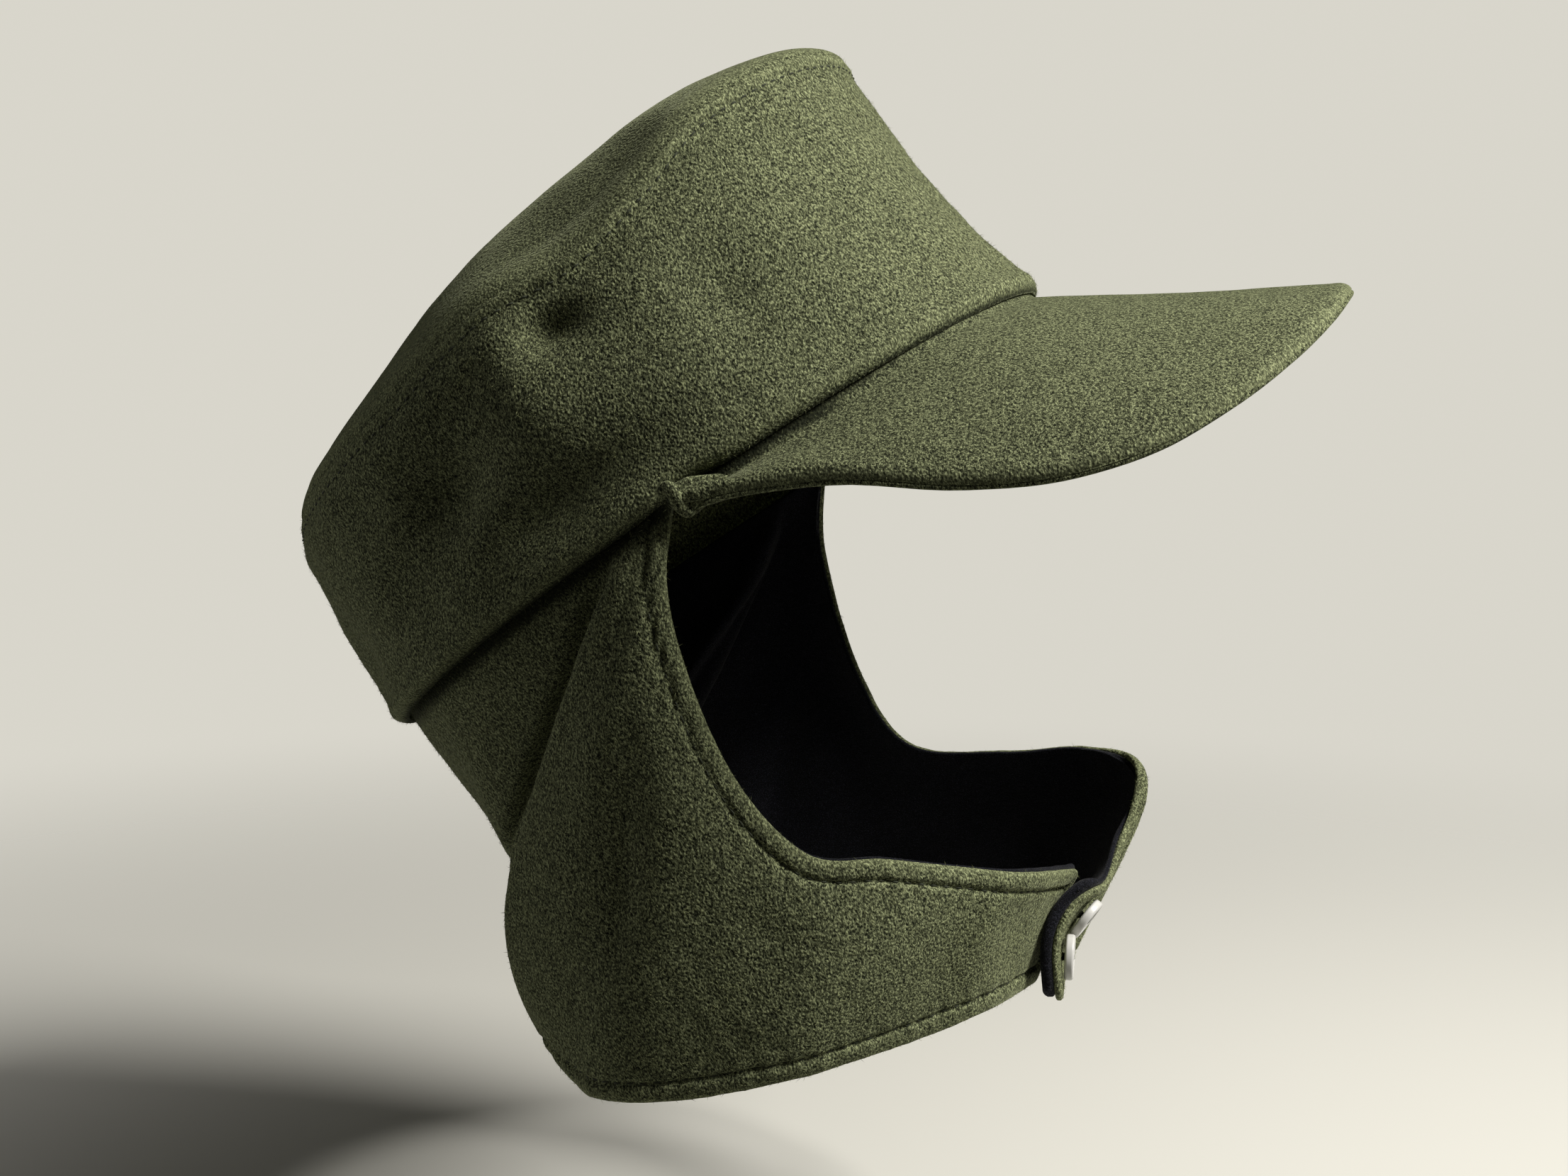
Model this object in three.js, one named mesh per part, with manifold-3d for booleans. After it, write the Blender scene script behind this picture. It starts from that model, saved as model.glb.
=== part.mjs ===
// Wool field cap with a long peak and ear flaps that are turned down and buttoned in front of the chin.
// Millimetres. X points forward, Y to the wearer's left, Z up, with the head upright.
// The origin is the centre of the head opening, the ring where crown, peak and flaps are sewn together.
// The crown and the peak are drawn in the crown's own frame, whose base plane leans back by CROWN_TILT.
import * as THREE from 'three';
import { mergeVertices } from 'three/addons/utils/BufferGeometryUtils.js';
import Module from 'manifold-3d';

const wasm = await Module();
wasm.setup();

// Driving dimensions
const CROWN_TILT = THREE.MathUtils.degToRad(35);
const HEAD = { halfLength: 106, halfWidth: 84 };
const TOP = { halfLength: 98.2, halfWidth: 76, centreX: -0.8, middleHeight: 70, frontRise: 10, dome: 18 };
const CLOTH = { crown: 2, flap: 1.8, lining: 0.9, peakUpper: 1.6, peakUnder: 1.2 };
const GAP = 0.3;
const LINING_GAP = 0.5;
const BUTTON_GAP = 1.15;
const WALL_BOW = { front: -3.5, back: 3.8, side: 3 };
const FLAP_COLLAR = { up: 2.5, down: 0.8, inset: CLOTH.crown + 0.55 };
const PEAK_ROOT = { inset: 1.5, drop: 0.35, lastAngle: 77 };
const BUTTON = { radius: 6, thickness: 2.4, rim: 0.7, well: 3.9, holeRadius: 0.8, holeSpread: 1.5 };

// Height of the top seam above the base plane, by the angle from the front
const SEAM_HEIGHT = [
  { angle: 0, height: 80 },
  { angle: 30, height: 79.5 },
  { angle: 48, height: 76.5 },
  { angle: 60, height: 69.5 },
  { angle: 75, height: 63.5 },
  { angle: 90, height: 65.5 },
  { angle: 110, height: 62 },
  { angle: 150, height: 61 },
  { angle: 180, height: 60 },
];

// Dents in the crown's wall: angle from the front (negative on the right), height share, spans and depth
const DENTS = [
  { angle: -83, height: 0.5, angleSpan: 9, heightSpan: 0.2, depth: 3.2 },
  { angle: -112, height: 0.36, angleSpan: 15, heightSpan: 0.17, depth: 4.2 },
  { angle: -142, height: 0.3, angleSpan: 17, heightSpan: 0.24, depth: 3.4 },
  { angle: -96, height: 0.2, angleSpan: 9, heightSpan: 0.13, depth: -1.8 },
  { angle: 88, height: 0.46, angleSpan: 12, heightSpan: 0.22, depth: 2.6 },
  { angle: 124, height: 0.34, angleSpan: 18, heightSpan: 0.2, depth: 3.8 },
  { angle: 152, height: 0.3, angleSpan: 13, heightSpan: 0.2, depth: 2 },
];

// Outer edge of the peak: each row is the end of a straight rib from the base ring at that angle
const PEAK_EDGE = [
  { angle: 0, x: 169.8, y: 0, z: -44.5 },
  { angle: 12, x: 167.5, y: 17, z: -45.5 },
  { angle: 24, x: 160.5, y: 34, z: -48 },
  { angle: 34, x: 149, y: 50, z: -50.5 },
  { angle: 43, x: 132.5, y: 66, z: -52 },
  { angle: 51, x: 113, y: 78, z: -51 },
  { angle: 58, x: 93, y: 84.5, z: -45 },
  { angle: 64, x: 75, y: 86.5, z: -35 },
  { angle: 70, x: 54, y: 86.5, z: -19 },
  { angle: 77, x: 27, y: 84.5, z: -2.5 },
];

// Flap sections from the front end round to the nape, each with four points from its top to its bottom.
// Sections from the temple on hang from the base ring at ringAngle, so their top point is worked out.
const RIGHT_FRONT = [
  { name: 'end', top: [100.8, 1.5, -94], upper: [96.2, 0.5, -101.5], lower: [92.2, -0.5, -112.5], bottom: [90, -1.5, -124] },
  { name: 'front', top: [90, -35, -85.8], upper: [87, -37, -97], lower: [84, -37, -109], bottom: [80.5, -36, -122] },
  { name: 'chin', top: [74.5, -50, -81.2], upper: [73.5, -52, -95], lower: [70, -51, -109], bottom: [65.9, -49, -125] },
  { name: 'throat', top: [59.2, -62, -77.4], upper: [58, -64, -94], lower: [54.5, -63, -111], bottom: [50, -59, -128] },
];
const LEFT_FRONT = [
  { name: 'end', top: [105.1, -8, -97.5], upper: [97.8, -14, -103.5], lower: [96.3, -16, -113.4], bottom: [97.3, -13, -126] },
  { name: 'front', top: [109, 7, -94.8], upper: [102.2, 8, -103.5], lower: [96.8, 7, -113.3], bottom: [96.1, 5, -126.7] },
  { name: 'bulge', top: [112.3, 32, -70.6], upper: [115, 27, -82.6], lower: [105.9, 22, -103.5], bottom: [95.7, 18, -125] },
  { name: 'chin', top: [98, 50, -69], upper: [102, 47, -84], lower: [97, 43, -105], bottom: [84, 38, -127] },
  { name: 'throat', top: [72, 61, -73.5], upper: [76, 61, -90], lower: [71, 58, -108], bottom: [61, 53, -128] },
];
const SIDE_BACK = [
  { name: 'jaw', top: [41.5, 71.5, -74.5], upper: [41, 74, -93], lower: [38, 73, -112], bottom: [34, 66.5, -131.5] },
  { name: 'cheek', top: [24, 77.5, -52.5], upper: [22, 80, -79], lower: [19, 77, -107], bottom: [15, 70, -136] },
  { name: 'ear', top: [12, 82, -16], upper: [8.5, 84, -57], lower: [2, 80, -98], bottom: [-3, 69.5, -139] },
  { name: 'temple', ringAngle: 80.5, upper: [-1, 84, -40], lower: [-11, 76, -92], bottom: [-16, 63, -140] },
  { name: 'ridge', ringAngle: 90, upper: [-14.5, 77, -40], lower: [-37.5, 62, -90], bottom: [-30, 52, -137] },
  { name: 'valley', ringAngle: 96, upper: [-19, 70, -44], lower: [-35.5, 50, -90], bottom: [-34, 37, -132] },
  { name: 'nape', ringAngle: 135, upper: [-51, 47, -71], lower: [-44.5, 36, -99], bottom: [-37, 22, -128] },
  { name: 'back', ringAngle: 180, upper: [-68, 0, -80], lower: [-52, 0, -101], bottom: [-37, 0, -126] },
];
const BUTTON_PLACES = [
  { name: 'button_upper', section: 0.72, drop: 0.36 },
  { name: 'button_lower', section: 0.34, drop: 0.7 },
];

// Fineness of the grids
const WALL_GRID = { round: 60, rows: 7 };
const TOP_GRID = { round: 60, rings: 6 };
const PEAK_GRID = { round: 30, rows: 4 };
const FLAP_GRID = { across: 34, rows: 9 };

const WOOL = new THREE.MeshStandardMaterial({ color: 0x4d5a3b, roughness: 0.95, metalness: 0 });
const PEAK_CLOTH = new THREE.MeshStandardMaterial({ color: 0x46543b, roughness: 0.9, metalness: 0 });
const LINING = new THREE.MeshStandardMaterial({ color: 0x14161c, roughness: 0.85, metalness: 0 });
const BUTTON_WHITE = new THREE.MeshStandardMaterial({ color: 0xdcdad6, roughness: 0.35, metalness: 0 });

// Smooth curve through values that stand at equal steps; before and after are the values past its ends
function smoothThrough(values, before, after, t) {
  const last = values.length - 1;
  const i = Math.min(Math.max(Math.floor(t), 0), last - 1);
  const f = t - i;
  const at = (k) => (k < 0 ? before : k > last ? after : values[k]);
  const [a, b, c, d] = [at(i - 1), at(i), at(i + 1), at(i + 2)];
  const slope = c - a;
  return 0.5 * (2 * b + slope * f + (2 * a - 5 * b + 4 * c - d) * f * f + (3 * b - a - 3 * c + d) * f ** 3);
}

// Real-numbered row of a table at an angle
function rowAt(table, angle) {
  let i = 0;
  while (i < table.length - 2 && table[i + 1].angle <= angle) i += 1;
  return i + (angle - table[i].angle) / (table[i + 1].angle - table[i].angle);
}

// A column of a table that is even about the front, smooth in the angle
function evenColumn(table, key, angle, sign = 1) {
  const values = table.map((row) => row[key]);
  const last = values.length - 1;
  return smoothThrough(values, sign * values[1], 2 * values[last] - values[last - 1], rowAt(table, angle));
}

// Angle from the front, 0 to 180 degrees, the same on both sides
function sideAngle(theta) {
  return THREE.MathUtils.radToDeg(Math.abs(Math.atan2(Math.sin(theta), Math.cos(theta))));
}

function ring(theta, inset, height) {
  const x = (HEAD.halfLength - inset) * Math.cos(theta);
  const y = (HEAD.halfWidth - inset) * Math.sin(theta);
  return new THREE.Vector3(x, y, height);
}

function ringNormal(theta) {
  return new THREE.Vector3(Math.cos(theta) / HEAD.halfLength, Math.sin(theta) / HEAD.halfWidth, 0).normalize();
}

function topSeam(theta) {
  const last = SEAM_HEIGHT.length - 1;
  const heights = SEAM_HEIGHT.map((row) => row.height);
  const t = rowAt(SEAM_HEIGHT, sideAngle(theta));
  const z = smoothThrough(heights, heights[1], heights[last - 1], t);
  return new THREE.Vector3(TOP.centreX + TOP.halfLength * Math.cos(theta), TOP.halfWidth * Math.sin(theta), z);
}

function dentDepth(theta, v) {
  let depth = 0;
  for (const dent of DENTS) {
    const turn = theta - THREE.MathUtils.degToRad(dent.angle);
    const degrees = THREE.MathUtils.radToDeg(Math.atan2(Math.sin(turn), Math.cos(turn)));
    const reach = (degrees / dent.angleSpan) ** 2 + ((v - dent.height) / dent.heightSpan) ** 2;
    depth += dent.depth * Math.exp(-reach);
  }
  return depth;
}

// Side wall: straight from the base ring to the top seam, bowed in at the front and out at the sides and back
function wallPoint(theta, v, inset) {
  const front = Math.max(Math.cos(theta), 0) ** 2;
  const back = Math.max(-Math.cos(theta), 0) ** 2;
  const side = Math.sin(theta) ** 2;
  const bow = (WALL_BOW.front * front + WALL_BOW.back * back + WALL_BOW.side * side) * 4 * v * (1 - v);
  const fade = Math.min(1, 4 * v, 4 * (1 - v));
  const out = bow - dentDepth(theta, v) * fade - inset;
  return ring(theta, 0, 0).lerp(topSeam(theta), v).addScaledVector(ringNormal(theta), out);
}

// Top panel: a pillow on a plane that rises to the front, boxy at the front and soft at the back.
// The ups and downs of the seam fade out quickly towards the middle.
function topPoint(theta, share, drop) {
  const edge = topSeam(theta);
  const boxiness = 2.8 + 0.7 * Math.cos(theta);
  const plane = (s) => TOP.middleHeight + TOP.frontRise * Math.cos(theta) * s;
  const unevenness = (edge.z - plane(1)) * share ** 4;
  const z = plane(share) + unevenness + TOP.dome * (1 - share ** boxiness);
  const x = TOP.centreX + (edge.x - TOP.centreX) * share;
  return new THREE.Vector3(x, edge.y * share, z + CLOTH.crown + GAP - drop);
}

// Peak: straight ribs from the base ring to the table's edge
function peakPoint(theta, s) {
  const angle = sideAngle(theta);
  const side = Math.sign(theta) || 1;
  const edge = new THREE.Vector3(
    evenColumn(PEAK_EDGE, 'x', angle),
    side * evenColumn(PEAK_EDGE, 'y', angle, -1),
    evenColumn(PEAK_EDGE, 'z', angle),
  );
  return ring(theta, PEAK_ROOT.inset, -PEAK_ROOT.drop).lerp(edge, s);
}

function crownToHead(point) {
  return point.applyAxisAngle(new THREE.Vector3(0, 1, 0), -CROWN_TILT);
}

// Flap sections of one side, with side -1 for the right and 1 for the left
function flapSections(side) {
  const mirrored = SIDE_BACK.map((row) => {
    const copy = { ...row };
    for (const key of ['top', 'upper', 'lower', 'bottom']) {
      if (row[key]) copy[key] = [row[key][0], side * row[key][1], row[key][2]];
    }
    return copy;
  });
  return [...(side < 0 ? RIGHT_FRONT : LEFT_FRONT), ...mirrored];
}

function smoothPoint(points, t) {
  const last = points.length - 1;
  const [end, before] = [points[last], points[last - 1]];
  const atNape = Math.abs(end[1]) < 1e-9;
  const coordinate = (axis) => {
    const values = points.map((p) => p[axis]);
    const first = 2 * values[0] - values[1];
    const mirror = axis === 1 ? -before[1] : before[axis];
    const after = atNape ? mirror : 2 * end[axis] - before[axis];
    return smoothThrough(values, first, after, t);
  };
  return new THREE.Vector3(coordinate(0), coordinate(1), coordinate(2));
}

// Flap surface: v below 0 is the collar inside the crown, v from 0 to 1 runs down through the four points
function flapPoint(side, sections, t, v) {
  const temple = sections.findIndex((row) => row.ringAngle !== undefined);
  const angles = sections.slice(temple).map((row) => row.ringAngle);
  const lastAngle = angles.length - 1;
  const ringAngle = smoothThrough(angles, 2 * angles[0] - angles[1], 2 * angles[lastAngle] - angles[lastAngle - 1],
    Math.max(t - temple, 0));
  const theta = side * THREE.MathUtils.degToRad(ringAngle);
  const hung = crownToHead(ring(theta, FLAP_COLLAR.inset, -FLAP_COLLAR.down));
  if (v < 0) return crownToHead(ring(theta, FLAP_COLLAR.inset, FLAP_COLLAR.up));
  const templeTop = crownToHead(ring(side * THREE.MathUtils.degToRad(angles[0]), FLAP_COLLAR.inset, -FLAP_COLLAR.down));
  const freeTops = [...sections.slice(0, temple).map((row) => row.top), templeTop.toArray()];
  const top = t < temple ? smoothPoint(freeTops, t) : hung;
  const upper = smoothPoint(sections.map((row) => row.upper), t);
  const lower = smoothPoint(sections.map((row) => row.lower), t);
  const bottom = smoothPoint(sections.map((row) => row.bottom), t);
  const third = 1 / 3;
  return new THREE.Vector3()
    .addScaledVector(top, -4.5 * (v - third) * (v - 2 * third) * (v - 1))
    .addScaledVector(upper, 13.5 * v * (v - 2 * third) * (v - 1))
    .addScaledVector(lower, -13.5 * v * (v - third) * (v - 1))
    .addScaledVector(bottom, 4.5 * v * (v - third) * (v - 2 * third));
}

// Unit normals of a grid of points, from the neighbours along both ways of the grid
function gridNormals(points) {
  const lastRow = points.length - 1;
  const lastColumn = points[0].length - 1;
  return points.map((row, i) => row.map((_, j) => {
    const along = points[Math.min(i + 1, lastRow)][j].clone().sub(points[Math.max(i - 1, 0)][j]);
    const across = points[i][Math.min(j + 1, lastColumn)].clone().sub(points[i][Math.max(j - 1, 0)]);
    return along.cross(across).normalize();
  }));
}

function pushed(points, normals, distance) {
  return points.map((row, i) => row.map((p, j) => p.clone().addScaledVector(normals[i][j], distance)));
}

// Closed shell between two grids of points; closedRound joins the last row to the first
function shell(outer, inner, closedRound = false) {
  const rows = outer.length;
  const columns = outer[0].length;
  const positions = [];
  for (const grid of [outer, inner]) for (const row of grid) for (const p of row) positions.push(p.x, p.y, p.z);
  const index = [];
  const at = (side, i, j) => side * rows * columns + (i % rows) * columns + j;
  const quad = (a, b, c, d) => index.push(a, b, c, a, c, d);
  const spans = closedRound ? rows : rows - 1;
  for (let i = 0; i < spans; i += 1) {
    for (let j = 0; j < columns - 1; j += 1) {
      quad(at(0, i, j), at(0, i + 1, j), at(0, i + 1, j + 1), at(0, i, j + 1));
      quad(at(1, i, j), at(1, i, j + 1), at(1, i + 1, j + 1), at(1, i + 1, j));
    }
    quad(at(0, i, 0), at(1, i, 0), at(1, i + 1, 0), at(0, i + 1, 0));
    quad(at(0, i, columns - 1), at(0, i + 1, columns - 1), at(1, i + 1, columns - 1), at(1, i, columns - 1));
  }
  if (!closedRound) {
    for (let j = 0; j < columns - 1; j += 1) {
      quad(at(0, 0, j), at(0, 0, j + 1), at(1, 0, j + 1), at(1, 0, j));
      quad(at(0, rows - 1, j), at(1, rows - 1, j), at(1, rows - 1, j + 1), at(0, rows - 1, j + 1));
    }
  }
  return closedGeometry(positions, index);
}

// Merges equal points, drops triangles without area and turns the faces outward
function closedGeometry(positions, index) {
  const loose = new THREE.BufferGeometry();
  loose.setAttribute('position', new THREE.Float32BufferAttribute(positions, 3));
  loose.setIndex(index);
  const merged = mergeVertices(loose, 1e-4);
  const kept = [];
  const ids = merged.index.array;
  let volume = 0;
  const corner = [new THREE.Vector3(), new THREE.Vector3(), new THREE.Vector3()];
  for (let k = 0; k < ids.length; k += 3) {
    const [a, b, c] = [ids[k], ids[k + 1], ids[k + 2]];
    if (a === b || b === c || c === a) continue;
    kept.push(a, b, c);
    corner.forEach((p, n) => p.fromBufferAttribute(merged.attributes.position, [a, b, c][n]));
    volume += corner[0].dot(corner[1].clone().cross(corner[2])) / 6;
  }
  if (volume < 0) kept.reverse();
  merged.setIndex(kept);
  return merged;
}

function range(count, start, end) {
  return Array.from({ length: count + 1 }, (_, i) => start + ((end - start) * i) / count);
}

function crownSide() {
  const turns = range(WALL_GRID.round, 0, 2 * Math.PI).slice(0, WALL_GRID.round);
  const heights = range(WALL_GRID.rows, 0, 1);
  const layer = (inset) => turns.map((theta) => heights.map((v) => wallPoint(theta, v, inset)));
  return shell(layer(0), layer(CLOTH.crown), true);
}

function crownTop() {
  const turns = range(TOP_GRID.round, 0, 2 * Math.PI).slice(0, TOP_GRID.round);
  const shares = range(TOP_GRID.rings, 0, 1).map((s) => s ** 0.8);
  const layer = (drop) => turns.map((theta) => shares.map((share) => topPoint(theta, share, drop)));
  return shell(layer(0), layer(CLOTH.crown), true);
}

function peakLayer(from, to) {
  const last = THREE.MathUtils.degToRad(PEAK_ROOT.lastAngle);
  const turns = range(PEAK_GRID.round, -last, last);
  const points = turns.map((theta) => range(PEAK_GRID.rows, 0, 1).map((s) => peakPoint(theta, s)));
  const up = gridNormals(points).map((row) => row.map((n) => (n.z < 0 ? n.negate() : n)));
  return shell(pushed(points, up, -from), pushed(points, up, -to));
}

// Grid of one flap's outer face; the front end sits at t = 0 and the nape seam just short of y = 0
function flapFace(side) {
  const sections = flapSections(side);
  const last = sections.length - 1;
  const temple = sections.findIndex((row) => row.ringAngle !== undefined);
  return range(FLAP_GRID.across, 0, last).map((t) => {
    const hung = t >= temple;
    return range(FLAP_GRID.rows, 0, 1).map((share, j) => {
      const hungShare = (j - 1) / (FLAP_GRID.rows - 1);
      return flapPoint(side, sections, t, hung ? hungShare : share);
    });
  });
}

function flapLayer(side, from, to) {
  const points = flapFace(side);
  const normals = gridNormals(points).map((row) => row.map((n) => n.multiplyScalar(-side)));
  for (const n of normals[normals.length - 1]) n.setY(0).normalize();
  const layer = (depth) => {
    const grid = pushed(points, normals, depth);
    for (const p of grid[grid.length - 1]) p.y = (side * GAP) / 2;
    return grid;
  };
  return shell(layer(from), layer(to));
}

function toSolid(geometry) {
  const bare = geometry.clone();
  bare.deleteAttribute('normal');
  bare.deleteAttribute('uv');
  const merged = mergeVertices(bare, 1e-4);
  const mesh = new wasm.Mesh({
    numProp: 3,
    vertProperties: new Float32Array(merged.attributes.position.array),
    triVerts: new Uint32Array(merged.index.array),
  });
  return new wasm.Manifold(mesh);
}

function toGeometry(solid) {
  const { vertProperties, triVerts } = solid.getMesh();
  return closedGeometry(Array.from(vertProperties), Array.from(triVerts));
}

// Round sew-through button with a raised rim and four holes, its back face on z = 0
function buttonGeometry() {
  const { radius, thickness, rim, well, holeRadius, holeSpread } = BUTTON;
  const profile = [
    [0, 0], [radius - rim, 0], [radius, rim], [radius, thickness - rim], [radius - rim, thickness],
    [well + rim, thickness], [well, thickness - rim], [0, thickness - rim],
  ].map(([x, y]) => new THREE.Vector2(x, y));
  const disc = new THREE.LatheGeometry(profile, 20).rotateX(Math.PI / 2);
  let solid = toSolid(closedGeometry(Array.from(disc.attributes.position.array), Array.from(disc.index.array)));
  for (let k = 0; k < 4; k += 1) {
    const hole = new THREE.CylinderGeometry(holeRadius, holeRadius, 4 * thickness, 8).rotateX(Math.PI / 2);
    const turn = (k + 0.5) * (Math.PI / 2);
    hole.translate(holeSpread * Math.SQRT2 * Math.cos(turn), holeSpread * Math.SQRT2 * Math.sin(turn), 0);
    solid = solid.subtract(toSolid(hole));
  }
  return toGeometry(solid);
}

function addMesh(group, name, geometry, material) {
  const mesh = new THREE.Mesh(geometry, material);
  mesh.name = name;
  group.add(mesh);
  return mesh;
}

const cap = new THREE.Group();

// Crown and peak, in the frame of the tilted base ring
const crown = new THREE.Group();
crown.rotation.y = -CROWN_TILT;
cap.add(crown);
addMesh(crown, 'crown_side', crownSide(), WOOL);
addMesh(crown, 'crown_top', crownTop(), WOOL);
addMesh(crown, 'peak_upper', peakLayer(0, CLOTH.peakUpper), WOOL);
const underStart = CLOTH.peakUpper + GAP;
addMesh(crown, 'peak_under', peakLayer(underStart, underStart + CLOTH.peakUnder), PEAK_CLOTH);

// Flaps and their linings
const liningStart = CLOTH.flap + LINING_GAP;
for (const [name, side] of [['right', -1], ['left', 1]]) {
  addMesh(cap, `flap_${name}`, flapLayer(side, 0, -CLOTH.flap), WOOL);
  addMesh(cap, `flap_lining_${name}`, flapLayer(side, -liningStart, -liningStart - CLOTH.lining), LINING);
}

// Buttons on the outer face of the left flap's front end, square to the cloth
const leftSections = flapSections(1);
for (const place of BUTTON_PLACES) {
  const step = 0.02;
  const seat = flapPoint(1, leftSections, place.section, place.drop);
  const along = flapPoint(1, leftSections, place.section + step, place.drop).sub(seat);
  const down = flapPoint(1, leftSections, place.section, place.drop + step).sub(seat);
  const outward = along.cross(down).normalize();
  if (outward.x < 0) outward.negate();
  const button = addMesh(cap, place.name, buttonGeometry(), BUTTON_WHITE);
  button.quaternion.setFromUnitVectors(new THREE.Vector3(0, 0, 1), outward);
  button.position.copy(seat.addScaledVector(outward, BUTTON_GAP));
}

export default cap;
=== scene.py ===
"""Wool field cap with a long peak and ear flaps turned down and buttoned in front of the chin.

Every cloth piece is a function of two parameters on a grid, worked out with numpy in millimetres and
put into its mesh in metres. X points forward, Y to the wearer's left, Z up. The crown and the peak are
drawn in the crown's own frame, whose base plane leans back by CROWN_TILT.
"""

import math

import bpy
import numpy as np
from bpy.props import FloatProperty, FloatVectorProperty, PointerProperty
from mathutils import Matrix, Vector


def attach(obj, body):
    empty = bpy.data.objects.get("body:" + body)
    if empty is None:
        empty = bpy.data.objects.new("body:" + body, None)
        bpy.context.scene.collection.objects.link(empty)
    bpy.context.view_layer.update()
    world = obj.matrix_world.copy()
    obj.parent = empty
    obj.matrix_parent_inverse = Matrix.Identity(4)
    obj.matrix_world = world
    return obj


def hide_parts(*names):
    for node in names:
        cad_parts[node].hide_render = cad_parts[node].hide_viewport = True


bl_info = {
    "name": "Field Cap",
    "version": (1, 0, 0),
    "blender": (4, 5, 0),
    "location": "View3D > Sidebar > Cap",
    "description": "Builds a wool field cap with its ear flaps turned down",
    "category": "Add Mesh",
}

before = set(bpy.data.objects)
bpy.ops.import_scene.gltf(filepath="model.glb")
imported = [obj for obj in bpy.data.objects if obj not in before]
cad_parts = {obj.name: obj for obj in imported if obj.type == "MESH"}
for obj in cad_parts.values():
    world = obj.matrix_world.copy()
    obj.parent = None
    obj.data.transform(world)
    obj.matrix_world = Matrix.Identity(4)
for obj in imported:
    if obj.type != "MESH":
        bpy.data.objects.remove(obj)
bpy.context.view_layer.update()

MM = 0.001

# Driving shapes of the cap, in millimetres and degrees
CROWN_TILT = math.radians(35)
HEAD = {"half_length": 106, "half_width": 84}
TOP = {
    "half_length": 98.2, "half_width": 76, "centre_x": -0.8,
    "middle_height": 70, "front_rise": 10, "dome": 18, "boxiness": 2.8, "front_boxiness": 0.7,
    "from_middle": 86,
}
WALL_BOW = {"front": -3.5, "back": 3.8, "side": 3}
FLAP_HANG = {"inset": 3.4, "up": 2.0}
# The peak's root under the crown; its last three values set the painted shade on the root: how far from the
# root it reaches, how far it fades, and how far from the free edge it fades out.
PEAK_ROOT = {
    "inset": 2.8, "drop": 1.7, "last_angle": 81.5, "tuck": 2.25, "turn_up": 4.2, "turn_width": 2.2,
    "end_fade": 4, "dark": 6.0, "dark_fade": 0.7, "dark_to_edge": 6,
}
PEAK_SAG = {"angle": 58, "span": 17, "depth": 1.5}
PEAK_BOW = {"angle": 56, "span": 20, "out": 1.8, "up": 2.4}
PEAK_SEAM = {"set_back": 0.35, "step": 1.1, "width": 1.9, "thick": 1.5}

# Height of the top seam above the base plane, by the angle from the front
SEAM_HEIGHT = {
    "angle": (0, 30, 48, 60, 75, 90, 110, 150, 180),
    "height": (80, 79.5, 76.5, 69.5, 63.5, 65.5, 62, 61, 60),
}

# Dents in the crown's wall: angle from the front (negative on the right), share of the height, spans of
# both, and depth
WALL_DENTS = (
    (-83, 0.8, 5, 0.09, 6.0),
    (-108, 0.54, 9, 0.16, 7.5),
    (-96, 0.22, 13, 0.12, 5.5),
    (-92, 0.6, 6, 0.15, -2.0),
    (-88, 0.84, 4, 0.1, -1.2),
    (-61, 0.5, 5, 0.25, 1.5),
    (-108, 0.3, 6, 0.2, -1.0),
    (-122, 0.36, 13, 0.2, 2.8),
    (-148, 0.3, 12, 0.24, 2.8),
    (-175, 0.42, 4, 0.28, 1.6),
    (88, 0.46, 12, 0.22, 2.6),
    (124, 0.34, 18, 0.2, 3.8),
    (152, 0.3, 13, 0.2, 2),
)

# The pocket in the wall's lower edge above each temple, where the peak's gathered end shows
TEMPLE_POCKET = {"angle": 79, "angle_span": 5, "rise": 1.5, "depth": 1.0, "height": 6}

# Dents in the top panel, in the same way, with the share of the way from its middle to its edge
TOP_DENTS = (
    (-66, 0.88, 15, 0.1, 2.6),
    (-112, 0.8, 22, 0.16, 1.6),
    (70, 0.86, 16, 0.1, 2.0),
    (150, 0.6, 25, 0.25, 1.5),
)

# Outer edge of the peak: each column holds the ends of straight ribs from the base ring at those angles
PEAK_EDGE = {
    "angle": (0, 12, 24, 34, 43, 51, 58, 64, 70, 77, 82),
    "x": (169.8, 167.5, 160.5, 149, 132.5, 113, 93, 75, 54, 27, 17.5),
    "y": (0, 17, 34, 50, 66, 78, 84.5, 86.5, 86.5, 85, 84.4),
    "z": (-44.5, -45.5, -48, -50.5, -52, -51, -45, -35, -19, -4.4, -3),
}

# Flap sections from the front end round to the nape. Each row holds one of the four points that a
# section has from its top to its bottom, section after section. The hung sections have no top point,
# because they hang from the base ring at the angles in RING_ANGLES, of which the first is the temple's.
# The side sections are written for the left flap and mirrored for the right one.
RIGHT_FRONT = {
    "top": ((100.8, 1.5, -94), (90, -35, -85.8), (74.5, -50, -81.2), (59.2, -62, -77.4)),
    "upper": ((96.2, 0.5, -101.5), (87, -37, -97), (73.5, -52, -95), (58, -64, -94)),
    "lower": ((92.2, -0.5, -112.5), (84, -37, -109), (70, -51, -109), (54.5, -63, -111)),
    "bottom": ((90, -1.5, -124), (80.5, -36, -122), (65.9, -49, -125), (50, -59, -128)),
}
LEFT_FRONT = {
    "top": ((105.1, -8, -97.5), (109, 7, -94.8), (112.3, 32, -70.6), (98, 50, -69), (72, 61, -73.5)),
    "upper": ((97.8, -14, -103.5), (102.2, 8, -103.5), (115, 27, -82.6), (102, 47, -84), (76, 61, -90)),
    "lower": ((96.3, -16, -113.4), (96.8, 7, -113.3), (105.9, 22, -103.5), (97, 43, -105), (71, 58, -108)),
    "bottom": ((97.3, -13, -126), (96.1, 5, -126.7), (95.7, 18, -125), (84, 38, -127), (61, 53, -128)),
}
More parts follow.
